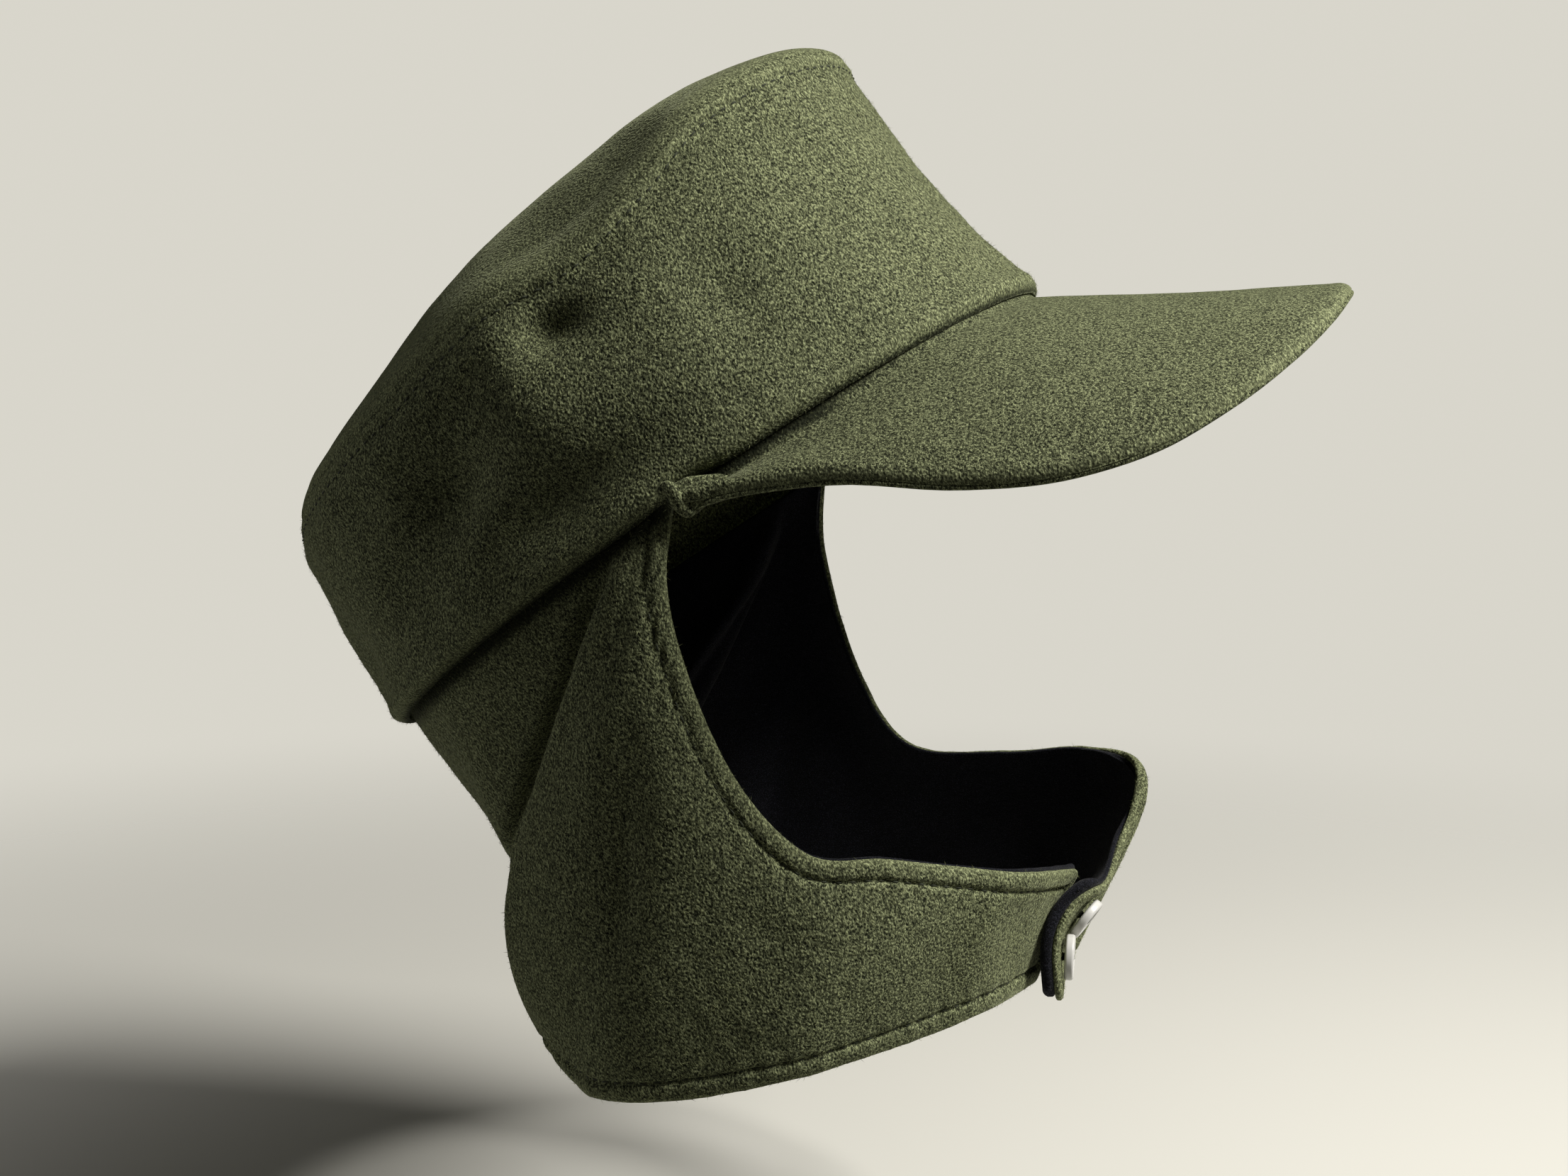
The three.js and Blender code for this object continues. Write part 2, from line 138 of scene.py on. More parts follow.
SIDE_FREE = {
    "top": ((41.5, 71.5, -74.5), (24, 77.5, -52.5), (12, 82, -16)),
    "upper": ((41, 74, -93), (22, 80, -79), (8.5, 84, -57)),
    "lower": ((38, 73, -112), (19, 77, -107), (2, 80, -98)),
    "bottom": ((34, 66.5, -131.5), (15, 70, -136), (-3, 69.5, -139)),
}
SIDE_HUNG = {
    "top": (),
    "upper": ((-1, 84, -40), (-14.5, 77, -40), (-19, 70, -44), (-51, 47, -71), (-68, 0, -80)),
    "lower": ((-11, 76, -92), (-37.5, 62, -90), (-35.5, 50, -90), (-44.5, 36, -99), (-52, 0, -101)),
    "bottom": ((-16, 63, -140), (-30, 52, -137), (-34, 37, -132), (-37, 22, -128), (-37, 0, -126)),
}
RING_ANGLES = (80.5, 90, 96, 135, 180)

# The top panel's edge turns down to the seam over this width
SHOULDER = {"rise": 2.3, "width": 6}

# Below the ear each flap stands away from the neck, most at its bottom, over these sections from the temple
FLARE = {
    "height": 5.5, "from_drop": 0.4, "growth": 1.3, "from_temple": (-5.8, -3.4, -0.4, 0.8),
}

# Corners of the flaps' front ends
CORNER_RADIUS = 4.5

# Bands raised or pressed in along a rim: distance of the middle, span, height, and the height that the
# puckers beside the peak's ends add
BASE_BANDS = ((3.6, 2.6, 0.8, 0), (0, 1.5, -1.1, 0))
SEAM_BANDS = ((2.2, 1.3, 0.35, 0.8), (6, 2.5, -0.25, -0.3))
TOP_BANDS = ((7, 4, 0, -0.9),)
BACK_SWELL = {"at": 8, "span": 5, "height": 1.4, "angle": 70, "fade": 20}

# Those puckers: angle from the front, span and strength
WALL_PUCKERS = ((-66, 20, 1), (68, 20, 0.6))
TOP_PUCKERS = ((-66, 18, 1),)

# Wide and fine unevenness of each cloth: amplitude, wavelength and seed
WAVES = {
    "wall": ((0.35, 30, 5), (0.08, 9, 6)),
    "top": ((0.35, 36, 8), (0.08, 9, 9)),
    "peak": ((0.3, 45, 12), (0.06, 9, 13)),
    "flap_right": ((0.3, 36, 19), (0.07, 9, 29)),
    "flap_left": ((0.3, 36, 21), (0.07, 9, 31)),
}

# Distance of the stitches below the top seam
SEAM_STITCHES = 4

# Hem of a flap: height of its welt, depth and span of the line that the stitches press in, the ripples
# beside it, and how many sections before the temple and the nape the stitches end
HEM = {
    "welt": 0.42, "pressed": 0.85, "pressed_span": 0.65,
    "ripple": 0.16, "ripple_length": 9.5, "ripple_span": 3.2, "before_temple": 0.22, "before_nape": 0.3,
}

# The flaps' lining: how far it reaches past the wool's cheek edge, bottom and front end, and how much
# thicker it is at the front end of each side
LINING_REACH = (0.5, -1.2, 0.6)
LINING_END = {"right": 0.3, "left": 1.8}

# Soft folds of the right flap's cloth (-1) and the left one's: section and drop as the flap's parameters,
# spans of both, and height
FLAP_FOLDS = {
    -1: (
        (6.4, 0.58, 0.45, 0.16, -3.0),
        (7.3, 0.72, 0.4, 0.2, 1.2),
        (7.2, 0.4, 0.35, 0.12, 1.6),
        (7.3, 0.2, 0.3, 0.1, -1.2),
        (4.3, 0.5, 0.5, 0.3, -1.4),
        (2.9, 0.5, 0.7, 0.3, 1.2),
        (0.9, 0.45, 0.35, 0.3, -1.4),
    ),
    1: (
        (6.6, 0.6, 0.7, 0.22, -2.0),
        (4.4, 0.5, 0.8, 0.3, 1.0),
        (8.3, 0.4, 0.4, 0.13, 1.4),
    ),
}

# Crease from each temple to the nape: where it crosses the drops, and the heights beside it
CREASE = {
    "drop": (0, 0.15, 0.3, 0.45, 0.6, 1),
    "after_temple": (0.9, 1.05, 1.9, 2.3, 2.9, 3.2),
    "strength": (0.5, 0.9, 1, 0.9, 0.35, 0),
    "ridge": 2.4, "front_span": 15, "back_span": 2.6, "valley": 3.2, "valley_at": 7, "valley_span": 7,
}

# Fold that curls from each flap's top corner forward under the peak's end, on the right side
TEMPLE_FOLD = {
    "x": (10, 11.6, 13.0, 14.2, 15.2, 16.6, 18.6),
    "y": (-84.6, -85.2, -85.6, -85.3, -84.4, -83.4, -82.8),
    "z": (9.8, 11.6, 11.9, 10.0, 7.9, 6.5, 6.5),
    "width": (2.4, 3.0, 3.2, 3.4, 3.4, 3.0, 2.0),
}

# Gathers of the cloth where the peak's end is sewn in above each temple, on the right side
TEMPLE_GATHERS = (
    {"from": (12.4, -84.0, 10.8), "to": (24.5, -80.6, 14.8), "rise": 0.0, "width": 4.4, "thick": 2.2},
    {"from": (13.6, -84.5, 9.2), "to": (31, -82.4, 13.6), "rise": 0.5, "width": 4.6, "thick": 2.4},
    {"from": (17.0, -84.7, 10.4), "to": (26, -82.4, 14.8), "rise": -0.4, "width": 2.8, "thick": 2.0},
)

# Loose fibres of each tint: linear colour, number and how far they stand up from the cloth
FIBRES = {
    "pale": {"colour": (0.33, 0.35, 0.17), "count": 32000, "lift": 0.3},
    "middle": {"colour": (0.15, 0.16, 0.075), "count": 24000, "lift": 0.34},
    "dark": {"colour": (0.02, 0.023, 0.011), "count": 11000, "lift": 0.2},
}

# Where the buttons sit on the left flap: section and drop as real numbers of its two parameters
BUTTON_PLACES = {"button_upper": (0.72, 0.36), "button_lower": (0.34, 0.7)}
BUTTON = {
    "radius": 6, "thickness": 2.4, "rim": 0.7, "well": 3.9,
    "hole_radius": 0.8, "hole_spread": 1.5, "hole_depth": 1.3, "seat": 1.15,
}

# Distances of the first grid lines from a rim, close enough together for its round edge
RIM = (0, 0.06, 0.2, 0.45, 0.8, 1.2)

# Grids: cells round the crown or along a flap's section, even rows between the rims, and for each rim
# the number of rows over a width. Lengths turn distances into the parameters of a grid.
CROWN_GRID = {"around": 360, "wall_rows": 34, "wall_rim": (10, 9), "top_rows": 27, "top_rim": (12, 11)}
PEAK_GRID = {
    "around": 132, "rows": 34, "side_rim": (6, 5), "edge_rim": (8, 7), "ring_radius": 90, "least_length": 12,
}
FLAP_GRID = {
    "along_section": 20, "rows": 40, "rim": (13, 7.5), "end_rim": (11, 7), "nape_rim": (3, 3),
    "end_length": 30, "nape_length": 60,
}

# Camera and picture, from the photograph's frame
PHOTO = {"width": 2212, "focal": 2600, "azimuth": 14, "elevation": 6, "distance": 504.2}
AIM = (18.578, 0, -19.584)
FLOOR_HEIGHT = -215

# Lights: direction from the cap, distance and size in metres, power in watts
LAMPS = (
    {"name": "key", "way": (0.73, -0.1, 0.68), "distance": 1.2, "size": 0.45, "power": 20.5},
    {"name": "fill", "way": (0.1, -1.0, 0.35), "distance": 2.0, "size": 1.4, "power": 0.25},
    {"name": "back", "way": (-0.92, -0.12, -0.12), "distance": 1.5, "size": 1.0, "power": 4.2},
)
LAMP_COLOUR = (1.0, 0.98, 0.93)
ROOM_LIGHT = 0.03

# Floor: colour that the camera sees, colours that light the cap from its near and its far side with the
# depths between which they change, and the distances between which the floor fades, in metres
FLOOR = {
    "seen": (0.87, 0.855, 0.79), "near": (0.12, 0.12, 0.11), "far": (0.98, 0.97, 0.9),
    "depths": (-0.25, 0.2), "fade": (0.2, 0.95), "radius": 2.6, "corners": 96,
}

# What later pieces follow: the wool's outer faces with the sign of their outward side and whether they
# close, the lines to be stitched, the flaps' raised shapes, and the materials made so far
faces_of = {}
lines_of = {}
shapes_of = {}
made_materials = {}


class CapSizes(bpy.types.PropertyGroup):
    """Cloth thicknesses, hems, stitches and fibres."""

    crown_cloth: FloatProperty(
        name="Crown cloth", description="Thickness of the crown's wool", default=0.002, unit="LENGTH")
    flap_cloth: FloatProperty(
        name="Flap cloth", description="Thickness of the flaps' wool", default=0.0018, unit="LENGTH")
    lining_cloth: FloatProperty(
        name="Lining cloth", description="Thickness of the flaps' lining", default=0.0014, unit="LENGTH")
    peak_wool: FloatProperty(
        name="Peak wool", description="Thickness of the peak's upper cloth", default=0.0017, unit="LENGTH")
    peak_under: FloatProperty(
        name="Peak underside", description="Thickness of the peak's lower cloth", default=0.0013,
        unit="LENGTH")
    hem_width: FloatProperty(
        name="Hem width", description="Distance of the top stitching from a flap's edge", default=0.0052,
        unit="LENGTH")
    stitch_length: FloatProperty(
        name="Stitch length", description="Length of one visible stitch", default=0.0027, unit="LENGTH")
    stitch_pitch: FloatProperty(
        name="Stitch pitch", description="Distance from stitch to stitch", default=0.0036, unit="LENGTH")
    thread_width: FloatProperty(
        name="Thread width", description="Diameter of the sewing thread", default=0.0005, unit="LENGTH")
    fibre_length: FloatProperty(
        name="Fibre length", description="Mean length of the wool's loose fibres", default=0.0012,
        unit="LENGTH")
    fibre_width: FloatProperty(
        name="Fibre width", description="Width of a loose fibre at its root", default=0.00009, unit="LENGTH")


def colour_property(name, description, default):
    """A linear colour of the property group."""
    return FloatVectorProperty(
        name=name, description=description, default=default, subtype="COLOR", size=3, min=0, max=1)


class CapColours(bpy.types.PropertyGroup):
    """Colours of the cloths, the thread and the buttons, linear."""

    wool_light: colour_property("Wool light", "Pale fibres of the wool", (0.41, 0.445, 0.24))
    wool_mid: colour_property("Wool middle", "Main colour of the wool", (0.118, 0.13, 0.069))
    wool_dark: colour_property("Wool dark", "Dark fibres of the wool", (0.012, 0.014, 0.008))
    peak_light: colour_property("Peak cloth light", "Pale threads under the peak", (0.16, 0.165, 0.09))
    peak_dark: colour_property("Peak cloth dark", "Dark threads under the peak", (0.075, 0.082, 0.045))
    lining: colour_property("Lining", "Brushed navy lining", (0.0045, 0.005, 0.008))
    lining_speck: colour_property("Lining fibres", "Pale fibres of the lining", (0.05, 0.05, 0.075))
    button: colour_property("Button", "Pale button", (0.78, 0.77, 0.74))
    thread: colour_property("Thread", "Sewing thread", (0.022, 0.026, 0.013))
    backdrop: colour_property("Backdrop", "Pale room around the cap", (0.69, 0.67, 0.6))


# Curves and forms

def smooth_through(values, before, after, t):
    """Catmull-Rom curve through values at whole steps of t; before and after lie past its ends."""
    values = np.asarray(values, float)
    padded = np.concatenate([[before], values, [after]])
    i = np.clip(np.floor(t).astype(int), 0, len(values) - 2)
    f = t - i
    if values.ndim > 1:
        f = f[..., None]
    a, b, c, d = (padded[i + k] for k in range(4))
    square, cube = 2 * a - 5 * b + 4 * c - d, 3 * b - a - 3 * c + d
    return 0.5 * (2 * b + (c - a) * f + square * f ** 2 + cube * f ** 3)


def row_at(angles, angle):
    """Real-numbered row of a table at an angle, by straight interpolation of its angle column."""
    return np.interp(angle, angles, np.arange(len(angles)))


def even_column(table, key, angle, sign=1):
    """A table's column that is even about the front (or odd, with sign -1), smooth in the angle."""
    values = table[key]
    after = 2 * values[-1] - values[-2]
    return smooth_through(values, sign * values[1], after, row_at(table["angle"], angle))


def turned(theta):
    """The angle brought between minus and plus half a turn, in degrees."""
    return np.degrees(np.arctan2(np.sin(theta), np.cos(theta)))


def bump(distance, span):
    """A bell of height 1: e to the minus of the squared distance over span."""
    return np.exp(-(distance / span) ** 2)


def unit(vectors, least=1e-9):
    """Vectors divided by their lengths, or by the least length where they are shorter."""
    return vectors / np.maximum(np.linalg.norm(vectors, axis=-1, keepdims=True), least)


def ring(theta, inset, height):
    """The base ring, an ellipse, moved in by inset and up by height."""
    x = (HEAD["half_length"] - inset) * np.cos(theta)
    y = (HEAD["half_width"] - inset) * np.sin(theta)
    return np.stack(np.broadcast_arrays(x, y, height + 0 * theta), -1)


def ring_normal(theta):
    """Outward unit normal of the base ring, in its plane."""
    return unit(np.stack(
        [np.cos(theta) / HEAD["half_length"], np.sin(theta) / HEAD["half_width"], 0 * theta], -1))


def top_seam(theta):
    """The seam between wall and top panel: an ellipse whose height follows the table."""
    heights = SEAM_HEIGHT["height"]
    z = smooth_through(heights, heights[1], heights[-2], row_at(SEAM_HEIGHT["angle"], np.abs(turned(theta))))
    x = TOP["centre_x"] + TOP["half_length"] * np.cos(theta)
    return np.stack([x, TOP["half_width"] * np.sin(theta), z], -1)


def dents(table, theta, at):
    """Sum of bells: each row's depth times a bell in the angle and in the share."""
    depth = 0 * theta * at
    for angle, middle, angle_span, span, deepest in table:
        turn = turned(theta - math.radians(angle))
        depth = depth + deepest * np.exp(-(turn / angle_span) ** 2 - ((at - middle) / span) ** 2)
    return depth


def bands(table, distance, pucker=0):
    """Sum of bells at each row's distance from a rim, each as high as its row and the puckers say."""
    return sum((height + added * pucker) * bump(distance - at, span) for at, span, height, added in table)


def puckers(table, theta):
    """Sum of bells in the angle, each as strong as its row says."""
    return sum(strength * bump(turned(theta - math.radians(angle)), span) for angle, span, strength in table)


def fold_heights(side, t, v):
    """Sum of bells: each fold's height times a bell in the section and in the drop."""
    heights = 0 * t
    for section, drop, t_span, v_span, height in FLAP_FOLDS[side]:
        heights = heights + height * np.exp(-((t - section) / t_span) ** 2 - ((v - drop) / v_span) ** 2)
    return heights


def soft_waves(points, amplitude, wavelength, seed):
    """Slow uneven waves: a sum of six sines of the place, with seeded directions and phases."""
    rng = np.random.default_rng(seed)
    total = np.zeros(points.shape[:-1])
    for _ in range(6):
        direction = unit(rng.normal(size=3))
        length = wavelength * rng.uniform(0.7, 1.6)
        phase = rng.uniform(0, 2 * math.pi)
        total += np.sin(points @ direction * (2 * math.pi / length) + phase)
    return amplitude * total / 2.4


def crown_to_head(points):
    """Turns points of the crown's frame into the head's frame, about Y by the crown's tilt."""
    c, s = math.cos(CROWN_TILT), math.sin(CROWN_TILT)
    x, y, z = points[..., 0], points[..., 1], points[..., 2]
    return np.stack([x * c - z * s, y, x * s + z * c], -1)


def wall_point(theta, v):
    """Crown wall: straight from base ring to top seam, bowed, less its dents, which fade at both seams."""
    front = np.maximum(np.cos(theta), 0) ** 2
    back = np.maximum(-np.cos(theta), 0) ** 2
    side = np.sin(theta) ** 2
    bow = (WALL_BOW["front"] * front + WALL_BOW["back"] * back + WALL_BOW["side"] * side) * 4 * v * (1 - v)
    fade = np.minimum(1, np.minimum(4 * v, 4 * (1 - v)))
    out = bow - dents(WALL_DENTS, theta, v) * fade
    low, high = ring(theta, 0, 0), top_seam(theta)
    return low + (high - low) * v[..., None] + ring_normal(theta) * out[..., None]


def top_point(theta, share):
    """Top panel: a dome on a plane that rises to the front; the seam's ups and downs fade to the middle."""
    edge = top_seam(theta)
    boxiness = TOP["boxiness"] + TOP["front_boxiness"] * np.cos(theta)
    level = TOP["middle_height"] + TOP["front_rise"] * np.cos(theta) * share
    unevenness = (edge[..., 2] - TOP["middle_height"] - TOP["front_rise"] * np.cos(theta)) * share ** 4
    z = level + unevenness + TOP["dome"] * (1 - share ** boxiness) - dents(TOP_DENTS, theta, share)
    x = TOP["centre_x"] + (edge[..., 0] - TOP["centre_x"]) * share
    return np.stack([x, edge[..., 1] * share, z], -1)


def peak_point(theta, s):
    """Peak: straight ribs from the base ring, tucked under the crown, to the table's edge."""
    angle = np.abs(np.degrees(theta))
    x = even_column(PEAK_EDGE, "x", angle)
    y = np.sign(theta) * even_column(PEAK_EDGE, "y", angle, -1)
    z = even_column(PEAK_EDGE, "z", angle)
    edge = np.stack([x, y, z], -1)
    root = ring(theta, PEAK_ROOT["inset"], -PEAK_ROOT["drop"])
    root[..., 2] -= PEAK_SAG["depth"] * bump(angle - PEAK_SAG["angle"], PEAK_SAG["span"])
    points = root + (edge - root) * s[..., None]
    bow = bump(angle - PEAK_BOW["angle"], PEAK_BOW["span"]) * np.sin(math.pi * np.clip(s, 0, 1))
    points[..., 1] += np.sign(theta) * PEAK_BOW["out"] * bow
    points[..., 2] += PEAK_BOW["up"] * bow
    return points


def flap_sections(side):
    """One side's four rows of points and the number of sections before the temple."""
    front = RIGHT_FRONT if side < 0 else LEFT_FRONT
    columns = {}
    for key in front:
        behind = np.array([*SIDE_FREE[key], *SIDE_HUNG[key]], float) * (1, side, 1)
        columns[key] = np.concatenate([front[key], behind])
    return columns, len(columns["top"])


def hung_top(ring_angle, side):
    """Point inside the crown's lower edge from which a flap hangs."""
    theta = side * np.radians(ring_angle)
    return crown_to_head(ring(theta, FLAP_HANG["inset"], FLAP_HANG["up"]))


def flap_point(side, t, v):
    """Flap: smooth curves through the sections along t, joined by a cubic through four points along v."""
    columns, temple = flap_sections(side)
    last = len(columns["bottom"]) - 1
    angles = np.array(RING_ANGLES)
    after = 2 * angles[-1] - angles[-2]
    ring_angle = smooth_through(angles, 2 * angles[0] - angles[1], after, np.maximum(t - temple, 0))
    free = np.concatenate([columns["top"], [hung_top(angles[0], side)]])
    at_free = np.minimum(t, temple)
    top_free = smooth_through(free, 2 * free[0] - free[1], 2 * free[-1] - free[-2], at_free)
    top = np.where((t < temple)[..., None], top_free, hung_top(ring_angle, side))
    lines = [top]
    for key in ("upper", "lower", "bottom"):
        values = columns[key]
        mirrored = values[last - 1] * (1, -1, 1)
        lines.append(smooth_through(values, 2 * values[0] - values[1], mirrored, t))
    third = 1 / 3
    v = v[..., None]
    return (-4.5 * (v - third) * (v - 2 * third) * (v - 1) * lines[0]
            + 13.5 * v * (v - 2 * third) * (v - 1) * lines[1]
            - 13.5 * v * (v - third) * (v - 1) * lines[2]
            + 4.5 * v * (v - third) * (v - 2 * third) * lines[3])


# Grids and shells

def grid_normals(points, closed=False):
    """Unit normals of a grid: the cross product of the differences along its rows and its columns."""
    if closed:
        along = np.roll(points, -1, 0) - np.roll(points, 1, 0)
    else:
        along = np.gradient(points, axis=0)
    return unit(np.cross(along, np.gradient(points, axis=1)))


def running_length(line):
    """Length of a line of points up to each of them."""
    return np.concatenate([[0], np.cumsum(np.linalg.norm(np.diff(line, axis=0), axis=1))])


def points_along(line, places):
    """Points at given lengths along a line of points, straight between them."""
    lengths = running_length(line)
    return np.stack([np.interp(places, lengths, line[:, k]) for k in range(3)], -1)


def distance_to(points, line):
    """Distance from each point of a grid to the nearest point of a line of points."""
    flat = points.reshape(-1, 3)
    nearest = np.full(len(flat), np.inf)
    for part in np.array_split(line, max(1, len(line) // 100)):
        squared = (flat ** 2).sum(1)[:, None] + (part ** 2).sum(1)[None, :] - 2 * flat @ part.T
        nearest = np.minimum(nearest, squared.min(1))
    return np.sqrt(np.maximum(nearest, 0)).reshape(points.shape[:-1])


def dense(line, step=0.25):
    """A line of points filled up to about one point for each step of its length."""
    length = running_length(line)[-1]
    return points_along(line, np.linspace(0, length, max(2, int(length / step))))


def rounding(distance, radius):
    """Share of the half thickness at a distance from the rim: a quarter circle that ends flat."""
    reach = 1 - np.clip(distance / radius, 0, 1)
    return np.sqrt(1 - reach ** 2)


def rim_steps(count, width):
    """Distances from a rim inwards: the fine steps of RIM for its round, then even steps over width."""
    return np.concatenate([RIM, np.linspace(RIM[-1], width, count + 1)[1:]])


def from_ends(count):
    """How many steps each of a row of places is from the nearer end."""
    return np.minimum(np.arange(count), np.arange(count)[::-1])


def put_object(name, data):
    """A new object with the given data, in the scene."""
    made = bpy.data.objects.new(name, data)
    bpy.context.scene.collection.objects.link(made)
    return made


def put_faces(name, points, faces):
    """Makes a mesh object in metres from points in millimetres and faces, turned outward."""
    volume = 0
    for half in ((0, 1, 2), (0, 2, 3)):
        corners = points[faces[:, half]]
        volume += np.einsum("ij,ij->", corners[:, 0], np.cross(corners[:, 1], corners[:, 2]))
    if volume < 0:
        faces = faces[:, ::-1]
    used, faces = np.unique(faces, return_inverse=True)
    faces = faces.reshape(-1, 4)
    lists = [list(dict.fromkeys(face)) for face in faces.tolist()]
    mesh = bpy.data.meshes.new(name)
    mesh.from_pydata((points[used] * MM).tolist(), [], [f for f in lists if len(f) > 2])
    mesh.validate()
    mesh.shade_smooth()
    return put_object(name, mesh), used


def add_attribute(piece, name, values):
    """Gives every vertex of a piece a number that its material can read by name."""
    attribute = piece.data.attributes.new(name, "FLOAT", "POINT")
    attribute.data.foreach_set("value", np.asarray(values, np.float32))


def cell_faces(ids, closed):
    """Quads of a grid of vertex numbers; closed joins its last row to its first."""
    after = np.roll(ids, -1, 0)
    rows = len(ids) if closed else len(ids) - 1
    quads = np.stack([ids[:, :-1], after[:, :-1], after[:, 1:], ids[:, 1:]], -1)[:rows]
    return quads.reshape(-1, 4)


def shell(name, outer, inner, closed=False, pole=False, painted_sheen=None, painted_shade=None):
    """Closed shell between two grids that meet at their rims; with pole, the first column is one point.

    The last two, painted sheen along the rims and painted shade, are kept as attributes for the material.
    """
    count = outer.shape[0] * outer.shape[1]
    ids = np.arange(count).reshape(outer.shape[:2])
    inner_ids = ids + count
    inner_ids[:, -1] = ids[:, -1]
    if pole:
        ids[:, 0] = ids[0, 0]
        inner_ids[:, 0] = inner_ids[0, 0]
    else:
        inner_ids[:, 0] = ids[:, 0]
    if not closed:
        inner_ids[[0, -1]] = ids[[0, -1]]
    points = np.concatenate([outer.reshape(-1, 3), inner.reshape(-1, 3)])
    faces = np.concatenate([cell_faces(ids, closed), cell_faces(inner_ids, closed)[:, ::-1]])
    piece, used = put_faces(name, points, faces)
    # The attribute "rim" carries the painted sheen, the other one the painted shade.
    for key, values in (("rim", painted_sheen), ("painted_shade", painted_shade)):
        if values is not None:
            add_attribute(piece, key, np.tile(values.ravel(), 2)[used])
    return piece


def seat(piece, nodes=()):
    """Fastens a finished piece to the root and hides the model's parts that it stands for."""
    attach(piece, "root")
    if nodes:
        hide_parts(*nodes)


def tube(points, widths, heights, up, sides):
    """Rings of a tube along a line: ellipses of the widths and heights, square to the line."""
    along = unit(np.gradient(points, axis=0))
    across = unit(np.cross(along, up))
    rise = np.cross(across, along)
    turn = np.arange(sides) * (2 * math.pi / sides)
    widths, heights = (np.broadcast_to(size, len(points))[:, None, None] for size in (widths, heights))
    circle = np.cos(turn)[:, None] * across[:, None] * widths
    circle = circle + np.sin(turn)[:, None] * rise[:, None] * heights
    return points[:, None] + circle / 2


def tubes(name, rings):
    """One mesh of many tubes, their ends pinched; rings are by tube, place, side and coordinate."""
    many, length, sides = rings.shape[:3]
    ids = np.arange(many * length * sides).reshape(many, length, sides)
    ids[:, 0] = ids[:, 0, :1]
    ids[:, -1] = ids[:, -1, :1]
    beside = np.roll(ids, -1, 2)
    quads = np.stack([ids[:, :-1], beside[:, :-1], beside[:, 1:], ids[:, 1:]], -1).reshape(-1, 4)
    centred = rings.copy()
    centred[:, 0] = rings[:, 0].mean(1, keepdims=True)
    centred[:, -1] = rings[:, -1].mean(1, keepdims=True)
    piece, _ = put_faces(name, centred.reshape(-1, 3), quads)
    return piece


# Shader sums as Python expressions

class Value:
    """A node's output socket; sums and products of it add Math nodes."""

    def __init__(self, shader, output):
        self.shader = shader
        self.output = output

    def math(self, operation, first, second):
        """A Math node of two values."""
        return self.shader.node("ShaderNodeMath", {"operation": operation}, {0: first, 1: second})

    def __add__(self, other):
        return self.math("ADD", self, other)

    def __radd__(self, other):
        return self.math("ADD", other, self)

    def __sub__(self, other):
        return self.math("SUBTRACT", self, other)

    def __rsub__(self, other):
        return self.math("SUBTRACT", other, self)

    def __mul__(self, other):
        return self.math("MULTIPLY", self, other)

    def __rmul__(self, other):
        return self.math("MULTIPLY", other, self)


class Shader:
    """A new material with a Principled surface, and one method that adds any other node."""

    def __init__(self, name):
        self.material = bpy.data.materials.new(name)
        self.material.use_nodes = True
        self.tree = self.material.node_tree
        self.surface = self.tree.nodes["Principled BSDF"]

    def node(self, kind, settings=(), inputs=(), output=0):
        """Adds a node: its settings first, then the values or links of its sockets."""
        made = self.tree.nodes.new(kind)
        for key, value in dict(settings).items():
            setattr(made, key, value)
        for key, value in dict(inputs).items():
            self.feed(made.inputs[key], value)
        return Value(self, made.outputs[output])

    def feed(self, socket, value):
        """Links a value to a socket, or sets a plain number or colour on it."""
        if isinstance(value, Value):
            self.tree.links.new(value.output, socket)
        elif socket.type == "RGBA":
            socket.default_value = (*value[:3], 1)
        else:
            socket.default_value = value

    def mix(self, factor, first, second):
        """Mixes two colours."""
        return self.node("ShaderNodeMix", {"data_type": "RGBA"}, {0: factor, 6: first, 7: second}, 2)

    def place(self):
        """The point on the object, in metres."""
        return self.node("ShaderNodeTexCoord", output="Object")

    def noise(self, vector, scale, detail=2.0, roughness=0.5, distortion=0.0):
        """Noise of the given scale per metre."""
        inputs = {"Vector": vector, "Scale": scale, "Detail": detail, "Roughness": roughness,
                  "Distortion": distortion}
        return self.node("ShaderNodeTexNoise", inputs=inputs)

    def between(self, value, low, high):
        """0 below low, 1 above high, and smooth between."""
        inputs = {"Value": value, "From Min": low, "From Max": high}
        return self.node("ShaderNodeMapRange", {"interpolation_type": "SMOOTHSTEP"}, inputs)

    def attribute(self, name):
        """The number that a piece's vertices carry under a name."""
        return self.node("ShaderNodeAttribute", {"attribute_name": name}, output="Fac")

    def relief(self, height, strength, distance):
        """The normal of a surface raised by height times a distance in metres."""
        inputs = {"Strength": strength, "Distance": distance, "Height": height}
        return self.node("ShaderNodeBump", inputs=inputs, output="Normal")

    def set(self, **values):
        """Values or links of the surface's sockets, with spaces written as underscores."""
        for key, value in values.items():
            self.feed(self.surface.inputs[key.replace("_", " ").title().replace("Ior", "IOR")], value)


def fibre_streaks(shader, place, turns, long=0.85, thin=0.22, low=0.59, high=0.7):
    """Short streaks: noise stretched along turned axes, cut to its high parts; lengths in millimetres."""
    streaks = None
    for turn in turns:
        mapped = shader.node(
            "ShaderNodeMapping", {"vector_type": "TEXTURE"},
            {"Vector": place, "Rotation": turn, "Scale": (long * MM, thin * MM, thin * MM)})
        one = shader.between(shader.noise(mapped, 1.0, 0.0), low, high)
        streaks = one if streaks is None else streaks.math("MAXIMUM", streaks, one)
    return streaks


